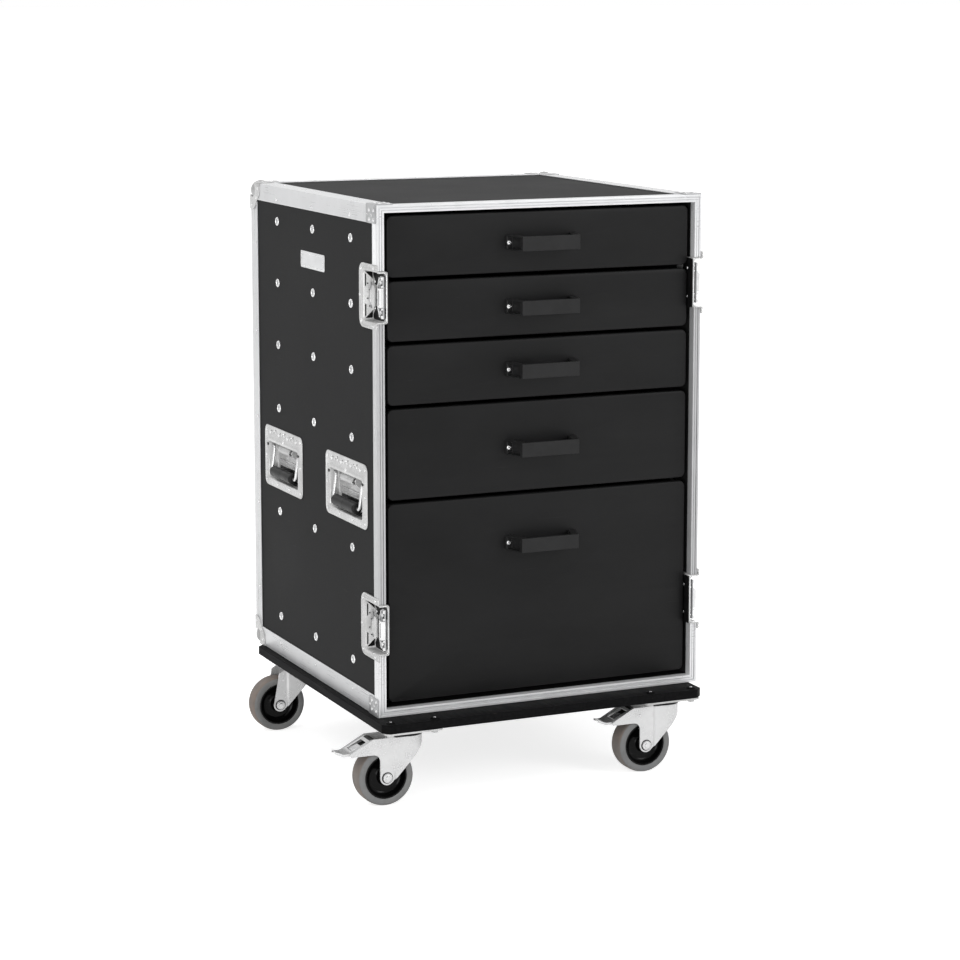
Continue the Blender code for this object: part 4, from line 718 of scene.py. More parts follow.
def make_ball_corner(place, corner, edges):
    """A pressed corner at the rear: three leaves over the extrusions, a ball and its rivets."""
    leaves, rivets = bmesh.new(), bmesh.new()
    for k in range(3):
        u, v, outward = edges[(k + 1) % 3], edges[(k + 2) % 3], -edges[k]
        outline = [corner + outward * 0.0002 + p for p in leaf(u, v)]
        # The leaf under the case stops short of the castor board
        under = outward.z < -0.5
        if under:
            for point in outline:
                point.y = max(point.y, corner.y - 0.0338)
        plate(leaves, outline, outward, SHEET, 0.0007)
        for a, b in mm((40.5, 10), (10, 40.5), (32, 27)):
            spot = corner + outward * 0.0013 + u * a + v * b
            if not under or spot.y > corner.y - 0.030:
                rivet(rivets, spot, outward, *CORNER_RIVET)
    ball = bmesh.new()
    bmesh.ops.create_uvsphere(ball, u_segments=48, v_segments=28, radius=0.0184)
    bmesh.ops.translate(ball, verts=ball.verts, vec=corner + (edges[0] + edges[1] + edges[2]) * 0.0145)
    piece(f"corner_leaves_{place}", leaves, ZINC, "case", ["edge_angles"], angle=28)
    piece(f"corner_ball_{place}", ball, SHADED_BALL_ZINC, "case", ["edge_angles"])
    piece(f"corner_rivets_{place}", rivets, BRIGHT, "case", angle=50)


def make_brace(place, corner, legs):
    """A riveted brace over the joint of the front extrusion and a side rail."""
    sheets, rivets = bmesh.new(), bmesh.new()
    outline = rounded((0.0030, -0.0012), (0.0440, 0.0312), 0.003)
    for along, outward in legs:
        def spot(y, b, lift=0.0):
            return corner + along * b + Vector((0, y, 0)) + outward * lift
        plate(sheets, [spot(y, b) for y, b in outline], outward, 0.0013, 0.0005)
        for y, b in mm((10.5, 9.5), (10.5, 25), (29, 9.5), (29, 25)):
            rivet(rivets, spot(y, b, 0.0013), outward, *BRACE_RIVET)
        for y in (0.0195, 0.0375):
            turned(rivets, spot(y, 0.0172, 0.0011), outward, BRACE_DIMPLE, 12)
    piece(f"front_brace_{place}", sheets, DARK_STEEL, "case", ["edge_angles"], angle=28)
    piece(f"front_brace_rivets_{place}", rivets, BRIGHT, "case", angle=50)


def make_corners():
    """Ball corners at the rear and braces at the front."""
    corners = [(row, z, up, name, side) for name, side in SIDES for row, z, up in ROWS]
    for row, z, up, side_name, side in corners:
        edges = (Vector((-side, 0, 0)), Vector((0, -1, 0)), Vector((0, 0, up)))
        make_ball_corner(f"{row}_{side_name}", at(side * HALF, DEPTH, z), edges)
    for row, z, up, side_name, side in corners:
        lift = 0.0003
        legs = [(Vector((0, 0, up)), Vector((side, 0, 0)))]
        if row == "upper":
            legs.append((Vector((-side, 0, 0)), Vector((0, 0, 1))))
        make_brace(f"{row}_{side_name}", at(side * (HALF + lift), 0, z - up * lift), legs)


def make_name_plate():
    """The bare plate riveted to the left side."""
    front, rear, low, high = 0.243, 0.357, 0.7276, 0.7568
    thick, out = 0.0009, PANEL_OUT - HALF
    bm = bmesh.new()
    outline = [side_at(-1, out, y, z) for y, z in rounded((front, low), (rear, high), 0.003)]
    plate(bm, outline, (-1, 0, 0), thick, 0.0003)
    piece("name_plate", bm, ALUMINIUM["Y"], "case", angle=28)
    bm = bmesh.new()
    border = []
    for grow, height in ((0.0030, thick), (0.0034, 0.00125), (0.0040, 0.00125), (0.0044, thick)):
        outline = rounded((front + grow, low + grow), (rear - grow, high - grow), 0.0016)
        border.append([side_at(-1, out + height, y, z) for y, z in outline])
    skin(bm, border, around=True)
    for y in (0.2480, 0.3520):
        rivet(bm, side_at(-1, out + thick, y, 0.7422), (-1, 0, 0), 0.0017, 0.0007)
    piece("name_plate_border", bm, BRIGHT, "case", angle=40)


# Drawers

def make_drawer(number, low, high, level):
    """A drawer's front, its box and its runner members."""
    body, node = f"drawer_{number}", f"drawer_{number}"
    half, face = 0.2800, 0.010
    bm = bmesh.new()
    loops = []
    edge = mm((0, 2.2), (0.35, 1.1), (1.1, 0.35), (2.2, 0), (14.6, 0), (15, 0.4))
    for depth, shrink in edge:
        outline = rounded((-half + shrink, low + shrink), (half - shrink, high - shrink), 0.010 - shrink, 6)
        loops.append([at(a, face + depth, b) for a, b in outline])
    skin(bm, loops)
    piece(f"drawer_front_{number}", bm, DRAWER, body, [node], angle=40)
    base, top, front, rear, wall = low + 0.004, high - 0.014, 0.025, 0.570, 0.0090
    bm = bmesh.new()
    loops = []
    for inset, z in ((0.0, base), (0.0, top), (wall, top), (wall, base + 0.006)):
        outline = box((-BOX_HALF + inset, front + 0.3 * inset), (BOX_HALF - inset, rear - inset))
        loops.append([at(a, b, z) for a, b in outline])
    skin(bm, loops)
    piece(f"drawer_box_{number}", bm, DRAWER, body, [node], ease=0.0007)
    bm = bmesh.new()
    for _, side in SIDES:
        section = channel(side, level, BOX_HALF - 0.0001, SPACER_IN - 0.0016, RUNNER_HALF - 0.0066, 0.0)
        prism(bm, at, 1, section, (0.029, 0.570))
        for y in (0.060, 0.180, 0.300, 0.420, 0.540):
            rivet(bm, at(side * (BOX_HALF + 0.0011), y, level), (side, 0, 0), 0.0035, 0.0012)
    piece(f"drawer_members_{number}", bm, RUNNER, body, [node], ease=0.0003)


def make_pull(number, level):
    """A bow pull with sloping legs, open pockets at its ends and a screw in each."""
    half, slope, bar, deep, leg, tall, wall = 0.066, 0.013, 0.006, 0.042, 0.013, 0.01225, 0.0022
    front = 0.0097
    spot = body_frame(0.0, front, level)
    inner = half - leg - slope * (deep - bar) / deep
    outline = [(-half, 0.0), (-half + slope, -deep), (half - slope, -deep), (half, 0.0), (half - leg, 0.0)]
    outline += [(inner, -deep + bar), (-inner, -deep + bar), (-half + leg, 0.0)]
    mesh = solid(spot, 2, (outline, (-tall, tall)))
    pockets = []
    for side in (-1, 1):
        corners = [(side * (half - 0.0095 - slope * d / deep), -d) for d in (0.005, deep - bar)]
        corners += [(side * 2 * half, -(deep - bar)), (side * 2 * half, -0.005)]
        pockets.append((corners, (-tall + wall, tall - wall)))
    mesh = combined(mesh, solid(spot, 2, *pockets))
    body, node = f"drawer_{number}", f"drawer_pull_{number}"
    piece(f"pull_bow_{number}", mesh, PULL, body, [node], ease=0.0007, angle=30)
    bm = bmesh.new()
    places = (0.0049 - half, half - 0.0049)
    for x in places:
        turned(bm, spot(x, -0.0048, 0.0), (0, -1, 0), PULL_SCREW, 20)
    screws = mesh_of(bm)
    for wide, high in mm((2.4, 0.5), (0.5, 2.4)):
        slots = [(box((x - wide, -0.0090), (x + wide, -0.0059)), (-high, high)) for x in places]
        screws = combined(screws, solid(spot, 2, *slots))
    piece(f"pull_screws_{number}", screws, BRIGHT, body, angle=40)


# Recessed handles

HANDLE_OUT = -0.0003
# Rows of the dish from its edge to its floor: share of the flange, height above HANDLE_OUT and shrink
PAN_STEPS = ((1.0, -0.0012), (1.0, -0.0005), (0.975, -0.0001), (0.94, 0.0), (0.30, 0.0), (0.24, 0.0009))
PAN_STEPS += ((0.15, 0.0014), (0.07, 0.0011), (0.02, 0.0001), (0.0, -0.0012), (0.0, -0.0150, 0.0022))
PAN_STEPS += ((0.0, -0.0166, 0.0030), (0.0, -0.0173, 0.0046))
FLANGE_RIVETS = mm((-87, 46), (87, 46), (-87, -46), (87, -46), (-87.5, 0))
FLANGE_RIVETS += mm((87.5, 0), (-30, -47.5), (30, -47.5))
FLANGE_BOSSES = mm((-66, 44), (-22, 44), (22, 44), (66, 44), (0, 33))
PIN_HOLES = mm((-52, 50), (-36, 47.5), (-10, 50.5), (14, 47.5), (38, 50), (60, 47))
SPRING_LUG = mm((-17.6, 25), (-17.6, 8.5), (-10, 8.5), (-2.2, 14), (-1.2, 18.5), (-2.2, 23), (-6, 25))


def make_handle(name, side, back):
    """A recessed handle: the pressed dish with its fittings, and the bail on its pin."""
    spot = side_frame(side, back, HANDLE_LEVEL)
    at_pin = side_frame(side, back, HANDLE_LEVEL + 0.0175, -0.0068)
    make_handle_pan(name, side, spot)
    make_handle_fittings(name, side, spot, at_pin)
    make_bail(name, at_pin)


def make_handle_pan(name, side, spot):
    """The pressed dish: a flange with a raised rim, and a pocket whose walls take the darker steel as
    painted shade.
    """
    pocket, flange = (0.075, 0.033), (0.0965, 0.0555)

    def loop(share, rise, shrink=0.0):
        half_y, half_z = [p + share * (f - p) - shrink for p, f in zip(pocket, flange)]
        middle = -POCKET_DROP * (1 - share)
        outline = rounded((-half_y, middle - half_z), (half_y, middle + half_z), 0.005 + share * 0.008, 5)
        return [spot(HANDLE_OUT + rise, y, z) for y, z in outline]

    bm = bmesh.new()
    rows = skin(bm, [loop(*step) for step in PAN_STEPS], caps=False)
    bm.faces.new(rows[-1])
    # Faces of the pocket walls take the darker steel: painted shade.
    for face in bm.faces:
        deep = abs(face.calc_center_median().x - BODY_ORIGIN.x) < HALF - 0.0004
        face.material_index = 2 if deep and abs(face.normal.x) < 0.6 else 0
    node, outward = f"handle_dish_{name}", (side, 0, 0)
    pan = piece(f"handle_pan_{name}", bm, ZINC, "case", [node], angle=40, sheet_facing=outward)
    # The back faces of the sheet take the black seal plastic: painted shade.
    for look in (SEAL, DARK_STEEL, SEAL):
        pan.data.materials.append(look)
    pan.modifiers["sheet"].material_offset = 1


def make_handle_fittings(name, side, spot, at_pin):
    """The dish's rivets and embossing, dark discs and sheets painted as the shade in its holes and behind
    and below the grip, and the spring with its lugs.
    """
    out, normal, deep = HANDLE_OUT, (side, 0, 0), -0.0168
    bm = bmesh.new()
    for y, z in FLANGE_RIVETS:
        rivet(bm, spot(out, y, z), normal, 0.0033, 0.0014)
    for y, z in FLANGE_BOSSES:
        rivet(bm, spot(out, y, z), normal, 0.0042, 0.0016)
    for y in (-0.044, 0.0, 0.044):
        bow = arc(y, 0.040, 0.0085, 20, 160, 10)
        rod(bm, [spot(out + 0.0002, a, b) for a, b in bow], 0.0012, 8, normal)
    for z in (-0.0060, -0.0155):
        rod(bm, [spot(deep, y, z) for y in (-0.060, 0.060)], 0.0012, 8, (1, 0, 0))
    piece(f"handle_fixings_{name}", bm, BRIGHT, "case", angle=50)
    bm = bmesh.new()
    # Dark discs stand for the holes: painted shade.
    for y in (-0.0778, 0.0778):
        turned(bm, spot(0.0, y, 0.0205), normal, mm((3.2, 0), (3, 1.4)), 10)
    for y, z in PIN_HOLES:
        turned(bm, spot(out, y, z), normal, mm((1.3, -0.2), (1.2, 0.4)), 8)
    # Dark sheets behind and below the grip: painted shadow.
    prism(bm, spot, 0, rounded((-0.0620, -0.0300), (0.0620, -0.0180), 0.0020), (-0.0174, -0.0170))
    shadow_sheet = ((deep, -0.0374), (-0.0070, -0.0390), (-0.0070, -0.0396), (deep, -0.0386))
    prism(bm, spot, 1, shadow_sheet, (-0.062, 0.062))
    piece(f"handle_painted_shade_{name}", bm, SEAL, "case", angle=50)
    bm = bmesh.new()
    turns, steps, wire, coil, long = 17, 14, 0.0014, 0.0058, 0.056
    path = []
    for i in range(turns * steps + 1):
        t = 2 * math.pi * i / steps
        path.append(at_pin(coil * math.cos(t), -long / 2 + long * i / (turns * steps), coil * math.sin(t)))
    rod(bm, path, wire, 6, (0, 1, 0))
    turned(bm, at_pin(0.0, -0.040, 0.0), (0, 1, 0), mm((2.6, 0), (2.6, 80)), 14)
    piece(f"handle_spring_{name}", bm, ZINC, "case", angle=50)
    lugs = [(SPRING_LUG, (y - 0.001, y + 0.001)) for y in (-0.040, 0.040)]
    piece(f"handle_lugs_{name}", solid(spot, 1, *lugs), ZINC, "case", ease=0.0005)


def make_bail(name, at_pin):
    """The bent rod and its rubber grip."""
    body, node = f"bail_{name}", f"handle_bail_{name}"
    half, ends, drop, bend, elbow, lean = 0.061, 0.0730, 0.0435, 0.007, 0.0035, 0.0062
    path = [(-ends, 0.0), (-half - elbow, 0.0)] + arc(-half - elbow, -elbow, elbow, 90, 0, 4)
    path += arc(-half + bend, -drop + bend, bend, 180, 270, 6)
    path += arc(half - bend, -drop + bend, bend, 270, 360, 6)
    path += arc(half + elbow, -elbow, elbow, 180, 90, 4) + [(ends, 0.0)]
    bm = bmesh.new()
    rod(bm, [at_pin(-lean * b / drop, a, b) for a, b in path], 0.0029, 14, (1, 0, 0))
    piece(f"bail_rod_{name}", bm, BRIGHT, body, [node], angle=50)
    bm = bmesh.new()
    long, radius = 0.0515, 0.0096
    end = mm((0, 0), (4.5, 0), (7.6, 0.6), (9, 2)) + [(radius, 0.0045), (radius, 0.0060)]
    profile = end + [(radius, long - 0.0012), (radius, long - 0.0004), (radius + 0.0002, long)]
    profile += [(radius, long + 0.0004), (radius, long + 0.0012)]
    profile += [(a, 2 * long - b) for a, b in end[::-1]]
    turned(bm, at_pin(lean, -long, -drop), (0, 1, 0), profile, 36)
    piece(f"bail_grip_{name}", bm, GRIP, body, [node], angle=50)


# Butterfly latches

# Rows of the dish from its edge to its floor: share of the flange, height, and for some a shrink and a skirt
LATCH_STEPS = ((1.0, 0.0004, 0.0, True), (1.0, 0.0010), (0.97, 0.0014), (0.92, 0.0015), (0.80, 0.0015))
LATCH_STEPS += ((0.75, 0.0022), (0.68, 0.0026), (0.61, 0.0022), (0.56, 0.0015), (0.44, 0.0015))
LATCH_STEPS += ((0.39, 0.0022), (0.30, 0.0027), (0.12, 0.0027), (0.05, 0.0022), (0.0, 0.0010))
LATCH_STEPS += ((0.0, -0.0145, 0.0002), (0.0, -0.0155, 0.0008), (0.0, -0.0160, 0.0020))


def make_latch(name, side, level):
    """A butterfly latch: its dish, its hook plate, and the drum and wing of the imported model."""
    spot = side_frame(side, 0.0, level)
    make_latch_pan(name, side, spot)
    make_hook(name, side, spot)
    make_latch_shade_sheets(name, side, spot)
    dress(f"latch_drum_{name}", DARK_STEEL, 0.0002)
    dress(f"latch_wing_{name}", ZINC, 0.0003)


def make_latch_pan(name, side, spot):
    """The pressed dish open to the front, with its rivets and embossing."""
    pan, flange = (0.042, 0.0568, 0.006), (0.05375, 0.0770, 0.016)

    def loop(share, outward, shrink=0.0, skirt=False):
        half, reach, radius = [p + share * (f - p) for p, f in zip(pan, flange)]
        half, reach = half - shrink, reach - shrink
        points = [(LATCH_FRONT, -half), (0.0262, -half), (0.0267, -half)]
        points += arc(reach - radius, -half + radius, radius, -90, 0, 6)
        points += arc(reach - radius, half - radius, radius, 0, 90, 6)
        points += [(0.0267, half), (0.0262, half), (LATCH_FRONT, half)]
        return [spot(-0.0017 if skirt and y > 0.0265 else outward, y, z) for y, z in points]

    bm = bmesh.new()
    rows = skin(bm, [loop(*step) for step in LATCH_STEPS], ring=False, caps=False)
    bm.faces.new(rows[-1])
    node, normal = f"latch_dish_{name}", (side, 0, 0)
    piece(f"latch_pan_{name}", bm, ZINC, "case", [node], angle=40, sheet_facing=normal)
    bm = bmesh.new()
    for y, z in mm((66.5, 44), (66.5, -44), (12, 48), (12, -48), (71.5, 0)):
        rivet(bm, spot(0.0015, y, z), normal, 0.0032, 0.0016)
    for y, z in mm((49, 22), (49, -22), (49.5, 4)):
        turned(bm, spot(-0.0160, y, z), normal, PAN_DIMPLE, 16)
    turned(bm, spot(-0.0161, LATCH_BACK, 0.0), normal, PAN_BOSS, 32)
    piece(f"latch_fixings_{name}", bm, BRIGHT, "case", angle=50)


def flipped(outline, end):
    """An outline with its second coordinate turned over or kept."""
    return [(a, end * b) for a, b in outline]


def make_hook(name, side, spot):
    """The waisted hook plate with its windows and slot, and its claw with a dark sheet painted as the shade
    of the slot in it.
    """
    body, node = f"hook_{name}", f"latch_hook_{name}"
    half = mm((-3.3, 35), (9.5, 35), (13, 32), (23.8, 13), (46, 13), (51.5, 22))
    mesh = solid(spot, 0, (half + flipped(half[::-1], -1), (-0.0114, -0.0096)))
    window = mm((1.5, 19), (1.5, 30), (8.5, 30), (13.5, 21.5), (11, 19))
    cuts = [flipped(window, -1), flipped(window, 1), rounded((0.0319, -0.0051), (0.0501, 0.0051), 0.0050)]
    mesh = combined(mesh, solid(spot, 0, *((cut, (-0.0130, -0.0080)) for cut in cuts)))
    piece(f"hook_plate_{name}", mesh, DARK_STEEL, body, [node], ease=0.0003)
    bm = bmesh.new()
    claw = mm((-10.4, -3.3), (-4, -3.3), (-3, -1.5), (-3, 8), (-4.5, 10.5))
    prism(bm, spot, 2, claw + mm((-10.4, 11.5)), (-0.0160, 0.0160))
    lip = box((-0.0098, -0.0033), (-0.0062, -0.0017))
    bead = mm((11.5, 33), (16.5, 22.5), (20.5, 16.5), (22.5, 12.5))
    for end in (-1, 1):
        for near, far in mm((17, 20.5), (29, 34.5)):
            prism(bm, spot, 2, lip, (end * near, end * far))
        turned(bm, spot(-0.0098, 0.0065, end * 0.0248), (side, 0, 0), HOOK_RING, 16)
        rod(bm, [spot(-0.0092, y, z) for y, z in flipped(bead, end)], 0.0013, 8, (1, 0, 0))
    piece(f"hook_claw_{name}", bm, BRIGHT, body, [node], ease=0.0005)
    # A thin dark sheet on the claw: painted shade of its slot.
    mesh = solid(spot, 0, (box((0.0010, -0.0125), (0.0024, 0.0125)), (-0.0031, -0.0028)))
    piece(f"hook_slot_shade_{name}", mesh, SEAL, body, [node])


def make_latch_shade_sheets(name, side, spot):
    """Dark sheets and dots painted as the shade in the slots round the hook plate and in the dish, and the
    rim of the dish's mouth.
    """
    bm = bmesh.new()
    # Near-black sheets on the floor and walls of the dish, and one behind the hook plate: painted shade.
    floor = mm((12, 40.8), (55.3, 40.8), (55.3, 33), (49, 26.5), (49, 18), (22, 14.5), (1, 18), (1, 32))
    wall = mm((-1, 39.5), (-15, 40.5), (-15, 26), (-11, 30))
    edge = mm((-1.2, 14), (-3.2, 16), (-3.2, 34), (-1.2, 36))
    for end in (-1, 1):
        prism(bm, spot, 0, flipped(floor, end), (-0.0160, -0.0157))
        prism(bm, spot, 1, flipped(wall, end), (0.0559, 0.0562))
        prism(bm, spot, 1, flipped(edge, end), (0.0557, 0.0564))
    for u, z in mm((-6, 19), (-9.5, 8), (-6, -6), (-9.5, -19)):
        turned(bm, spot(u, 0.0562, z), (0, -1, 0), PAN_DOT, 10)
    prism(bm, spot, 0, box((-0.0030, -0.0420), (0.0300, 0.0420)), (-0.0190, -0.0178))
    piece(f"latch_shade_sheets_{name}", bm, SEAL, "case")
    bm = bmesh.new()
    rim = mm((0.2, 41.2)) + arc(-0.0108, 0.0365, 0.0045, 90, 180, 5)
    rim += flipped(rim[::-1], -1)
    rod(bm, [spot(u, -0.0025, z) for u, z in rim], 0.0009, 8, (0, 1, 0))
    for z in (-0.0245, 0.0245):
        rivet(bm, spot(-0.0190, 0.0150, z), (-side, 0, 0), 0.0026, 0.0010)
    piece(f"latch_rim_{name}", bm, BRIGHT, "case", angle=50)


# Castor board and castors

def make_board():
    """The painted board, and the bolts that show on its ledge."""
    left, right, front, rear = BOARD
    c, top = 0.011, -0.0003
    outline = [(left + c, front), (right - c, front), (right, front + c), (right, rear - c)]
    outline += [(right - c, rear), (left + c, rear), (left, rear - c), (left, front + c)]
    mesh = solid(at, 2, (outline, (top - 0.0150, top)))
    piece("board_panel", mesh, BOARD_PAINT, "case", ["castor_board"], ease=0.0012, angle=20)
    heads, middles = bmesh.new(), bmesh.new()
    for _, x, y in CASTORS[:2]:
        for a in (-0.040, 0.040):
            centre = at(x + a, y - 0.030, top)
            turned(heads, centre, (0, 0, 1), BOARD_BOLT, 24)
            # A bright steel dot on each head: painted highlight.
            turned(middles, centre, (0, 0, 1), BOARD_BOLT_HIGHLIGHT, 12)
    piece("board_bolts", heads, BOARD_PAINT, "case", ["castor_board"], angle=40)
    piece("board_bolt_highlights", middles, BRIGHT, "case", ["castor_board"], angle=40)


def make_castor(name, x, y):
    """A castor: wheel, fork, seal and pedal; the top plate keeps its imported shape."""
    at_axle, at_pin = body_frame(x - TRAIL, y, FLOOR + AXLE), body_frame(x, y, FLOOR)
    make_wheel(f"wheel_{name}", name, at_axle(0, 0, 0))
    dress(f"castor_plate_{name}", ZINC, 0.0004)
    make_fork(name, at_pin, at_axle)
    if name.startswith("front"):
        make_pedal(name, at_axle)
    bm = bmesh.new()
    ring = mm((26.5, 0.2), (28.2, 0.4), (29, 2.4), (28.6, 6.2), (27, 8), (26.5, 8))
    lathe(bm, at_pin(0, 0, CROWN), (0, 0, 1), ring, 56)
    piece(f"race_seal_{name}", bm, SEAL, "case", angle=50)


def make_wheel(body, name, centre):
    """The tyre with its walls, and the hub."""
    r, w = 0.050, 0.0175
    half = [(0.0372, w - 0.0020), (0.0384, w - 0.0007), (0.0400, w), (0.0455, w - 0.0002)]
    half += [(0.0476, w - 0.0012), (0.0490, w - 0.0034), (0.0497, w - 0.0065), (r, w - 0.0105)]
    bm = bmesh.new()
    lathe(bm, centre, (0, 1, 0), half + [(r, 0.0)] + flipped(half[::-1], -1), 96)
    piece(f"tyre_{name}", bm, TYRE, body, [body], angle=50)
    wall = [(0.0374, w - 0.0014), (0.0385, w - 0.0003), (0.0401, w + 0.0004), (0.0452, w + 0.0003)]
    wall += [(0.0472, w - 0.0004), (0.0484, w - 0.0016), (0.0470, w - 0.0040), (0.0380, w - 0.0040)]
    bm = bmesh.new()
    for end in (-1, 1):
        lathe(bm, centre, (0, end, 0), wall, 96)
    piece(f"tyre_walls_{name}", bm, WALL, body, [body], angle=50)
    half = mm((6.4, 18.9), (12.8, 18.9), (13.4, 18), (13.8, 7), (16, 5.2))
    half += mm((25, 4.8), (30, 6.2), (33, 10.5), (34.2, 15), (35, 16.2), (37.2, 16.5), (38, 15.8))
    bm = bmesh.new()
    lathe(bm, centre, (0, 1, 0), half + flipped(half[::-1], -1), 72)
    piece(f"hub_{name}", bm, HUB, body, [body], angle=45)


def fork_side(braked):
    """Side view of a fork from its axle: forward is +X, and the crown is at the top."""
    crown, foot, nose = CROWN - AXLE, 0.0125, TRAIL + 0.0270
    low = crown - 0.0130
    points = [(nose, crown), (nose, low + 0.003), (nose - 0.0012, low)]
    tangent = math.atan2(low, nose) - math.acos(foot / math.hypot(nose, low))
    points += arc(0.0, 0.0, foot, math.degrees(tangent), -180, 16)
    if braked:
        points.append((-foot, 0.0292))
        points += arc(-foot - 0.0125, 0.0292, 0.0125, 0, 90, 8)[1:]
        points += [(-0.0645, 0.0417), (-0.0670, 0.0467), (-0.0256, crown)]
    else:
        points.append((-0.12 * foot, crown - 0.009))
    points.append((TRAIL - 0.0284, crown))
    return points


def fork_plan(half, radius):
    """Plan of the bent sheet: flat legs that widen into a round nose about the kingpin."""
    crease, step = 0.0128 - TRAIL, 0.0030
    wide = radius * math.sin(math.radians(75)) - 0.0006
    half_plan = [(-0.177, -half), (crease, -half), (crease + step, -wide)]
    return half_plan + arc(0.0, 0.0, radius, -105, 105, 28) + flipped(half_plan[::-1], -1)


def make_fork(name, at_pin, at_axle):
    """The bent sheet fork with its axle bolt and a pressed mark on each leg."""
    braked = name.startswith("front")
    wide, sheet = 0.0220, 0.0025
    inside = wide - sheet
    mesh = solid(at_pin, 2, (fork_plan(wide, 0.0270), (0.0, 0.26)))
    mesh = combined(mesh, solid(at_axle, 1, (fork_side(braked), (-0.054, 0.054))), "INTERSECT")
    mesh = combined(mesh, solid(at_pin, 2, (fork_plan(inside, 0.0245), (-0.13, CROWN - sheet))))
    opening = -0.0300 if braked else -TRAIL - 0.0030
    mesh = combined(mesh, solid(at_pin, 2, (box((-0.177, -inside), (opening, inside)), (0.0, 0.26))))
    body, node = f"fork_{name}", f"castor_fork_{name}"
    piece(f"fork_sheet_{name}", mesh, FORK, body, [node], ease=0.0011, angle=30)
    bolts, shade_rings = bmesh.new(), bmesh.new()
    mark = Vector((-0.013, 0.0, 0.055)) if braked else Vector((0.006, 0.0, 0.046))
    for end in (-1, 1):
        centre = at_axle(0, end * wide, 0)
        # Dark rings under the axle heads: painted shadow.
        turned(shade_rings, centre, (0, end, 0), HEAD_SHADE_RING, 28)
        turned(bolts, centre, (0, end, 0), AXLE_HEAD, 24)
        turned(bolts, centre + mark, (0, end, 0), FORK_MARK, 14)
    rod(bolts, [at_axle(0, s, 0) for s in (-wide, wide)], 0.0060, 20, (1, 0, 0))
    rod(bolts, [at_pin(0, 0, z) for z in (CROWN - 0.0060, CROWN - 0.0020)], 0.0100, 20, (1, 0, 0))
    piece(f"fork_bolts_{name}", bolts, BRIGHT, body, [node], angle=40)
    piece(f"fork_shade_rings_{name}", shade_rings, SEAL, body, [node], angle=40)


def make_pedal(name, at_axle):
    """The brake pedal: a sloping pressed plate with a large window, its tongue and an upturned lip; a dark
    sheet under the window is painted shade, and a dark strip lies along the top.
    """
    body, node = f"pedal_{name}", f"brake_pedal_{name}"
    line = mm((-18, 64, 15), (-25.6, 65.5, 18.5), (-66, 46.5, 18.5), (-76, 45.8, 16.5), (-88, 50, 9))
    bm = bmesh.new()
    loops = []
    for a, b, wide in line:
        edge = [(-wide, 0.0014), (-wide, -0.0030), (-wide + 0.0016, -0.0030), (-wide + 0.0020, 0.0)]
        section = edge + [(-s, rise) for s, rise in edge[::-1]]
        loops.append([at_axle(a, s, b + rise) for s, rise in section])
    skin(bm, loops)
    window = solid(at_axle, 2, (box((-0.0600, -0.0120), (-0.0340, 0.0120)), (0.030, 0.085)))
    mesh = combined(mesh_of(bm), window)
    piece(f"pedal_sheet_{name}", mesh, FORK, body, [node], ease=0.0005, angle=30)
    tongue = mm((-57.5, 48.5), (-42, 55.5), (-42, 56.8), (-57.5, 50))
    mesh = solid(at_axle, 1, (tongue, (-0.0085, 0.0085)))
    piece(f"pedal_tongue_{name}", mesh, BRIGHT, body, [node], ease=0.0005)
    # A dark sheet under the window: painted shade; a dark strip along the top.
    well = mm((-61, 44), (-20, 60), (-20, 61.5), (-61, 45.5))
    top = mm((-33.5, 62.6), (-25.6, 67.3), (-18.5, 66), (-18.5, 64), (-33.5, 60.6))
    mesh = solid(at_axle, 1, (well, (-0.0160, 0.0160)), (top, (-0.0145, 0.0145)))
    piece(f"pedal_well_{name}", mesh, SEAL, body, [node])


# Stage

LAMPS = (
    ("key", (-3.6, -2.6, 4.2), 2.4, 56.0),
    ("front", (2.6, -4.0, 2.6), 1.8, 56.0),
    ("top", (0.3, 0.2, 4.8), 2.6, 32.0),
    ("rear", (-1.6, 3.4, 4.4), 2.2, 50.0),
    ("low", (-2.6, -3.6, 0.5), 2.0, 58.0),
)
LAMP_AIM = Vector((0.04, 0.0, 0.55))


def make_floor():
    """A plain pale floor that keeps the object's shadow; farther off it is seen as white."""
    bpy.ops.mesh.primitive_plane_add(size=400.0, location=(0.0, 0.0, 0.0))
    floor = bpy.context.object
    floor.name = "floor"
    look = Look("floor_white", (0.80, 0.80, 0.80), 0.9, specular=0.2)
    seen = look.seen()
    look.set("Emission Color", (1.0, 1.0, 1.0, 1.0))
    reach = look.node("ShaderNodeVectorMath", {0: look.place}, 1, operation="LENGTH")
    look.drive("Emission Strength", look.math("MULTIPLY", seen, look.span(reach, 0.6, 2.6, 0.76, 1.0)))
    floor.data.materials.append(look.material)


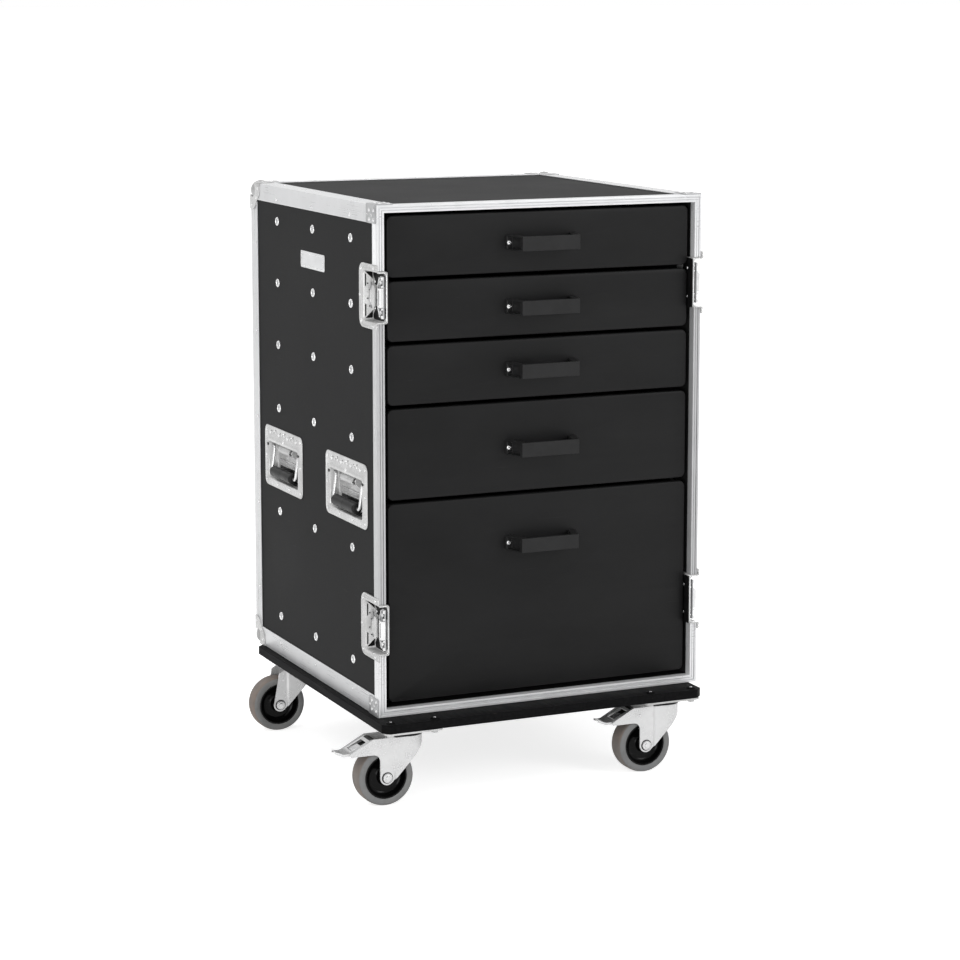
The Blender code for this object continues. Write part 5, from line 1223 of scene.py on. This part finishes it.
def make_world():
    """A world that lights the object at a plain level and is seen as white."""
    world = bpy.context.scene.world or bpy.data.worlds.new("studio")
    bpy.context.scene.world = world
    world.use_nodes = True
    nodes = Nodes(world.node_tree)
    strength = nodes.span(nodes.seen(), 0.0, 1.0, 0.40, 1.0)
    background = world.node_tree.nodes["Background"]
    background.inputs["Color"].default_value = (1.0, 1.0, 1.0, 1.0)
    world.node_tree.links.new(strength, background.inputs["Strength"])


def add_stage_object(name, data, spot):
    """Puts a lamp or the camera in the scene."""
    thing = bpy.data.objects.new(name, data)
    bpy.context.scene.collection.objects.link(thing)
    thing.location = spot
    return thing


def make_stage():
    """Floor, world, lamps and camera."""
    make_floor()
    make_world()
    for name, spot, size, power in LAMPS:
        data = bpy.data.lights.new(name, "AREA")
        data.shape = "SQUARE"
        data.size = size
        data.energy = power
        lamp = add_stage_object(name, data, spot)
        lamp.rotation_euler = (LAMP_AIM - Vector(spot)).to_track_quat("-Z", "Y").to_euler()
    data = bpy.data.cameras.new("camera")
    data.sensor_width = 36.0
    data.lens = 102.3
    data.shift_y = -0.0771
    data.clip_end = 500.0
    camera = add_stage_object("camera", data, (-1.933, -4.400, 1.3516))
    pitch, turn = 8.66, -24.28
    camera.rotation_euler = (math.radians(90.0 - pitch), 0.0, math.radians(turn))
    bpy.context.scene.camera = camera
    bpy.context.scene.view_settings.view_transform = "Standard"


make_stage()
for side_name, side in SIDES:
    make_side_panel(side_name, side)
for node in ("top_panel", "bottom_panel", "back_panel"):
    dress(node, LAMINATE)
make_front_frame()
make_rails()
make_rail_rivets()
make_corners()
make_name_plate()
make_board()
for number, ((low, high), pull_level, runner) in enumerate(zip(FRONTS, PULL_LEVELS, RUNNERS), 1):
    make_drawer(number, low, high, runner)
    make_pull(number, pull_level)
for side_name, side in SIDES:
    for row, back in HANDLES:
        make_handle(f"{row}_{side_name}", side, back)
    for row, level in LATCHES:
        make_latch(f"{row}_{side_name}", side, level)
for name, x, y in CASTORS:
    make_castor(name, x, y)
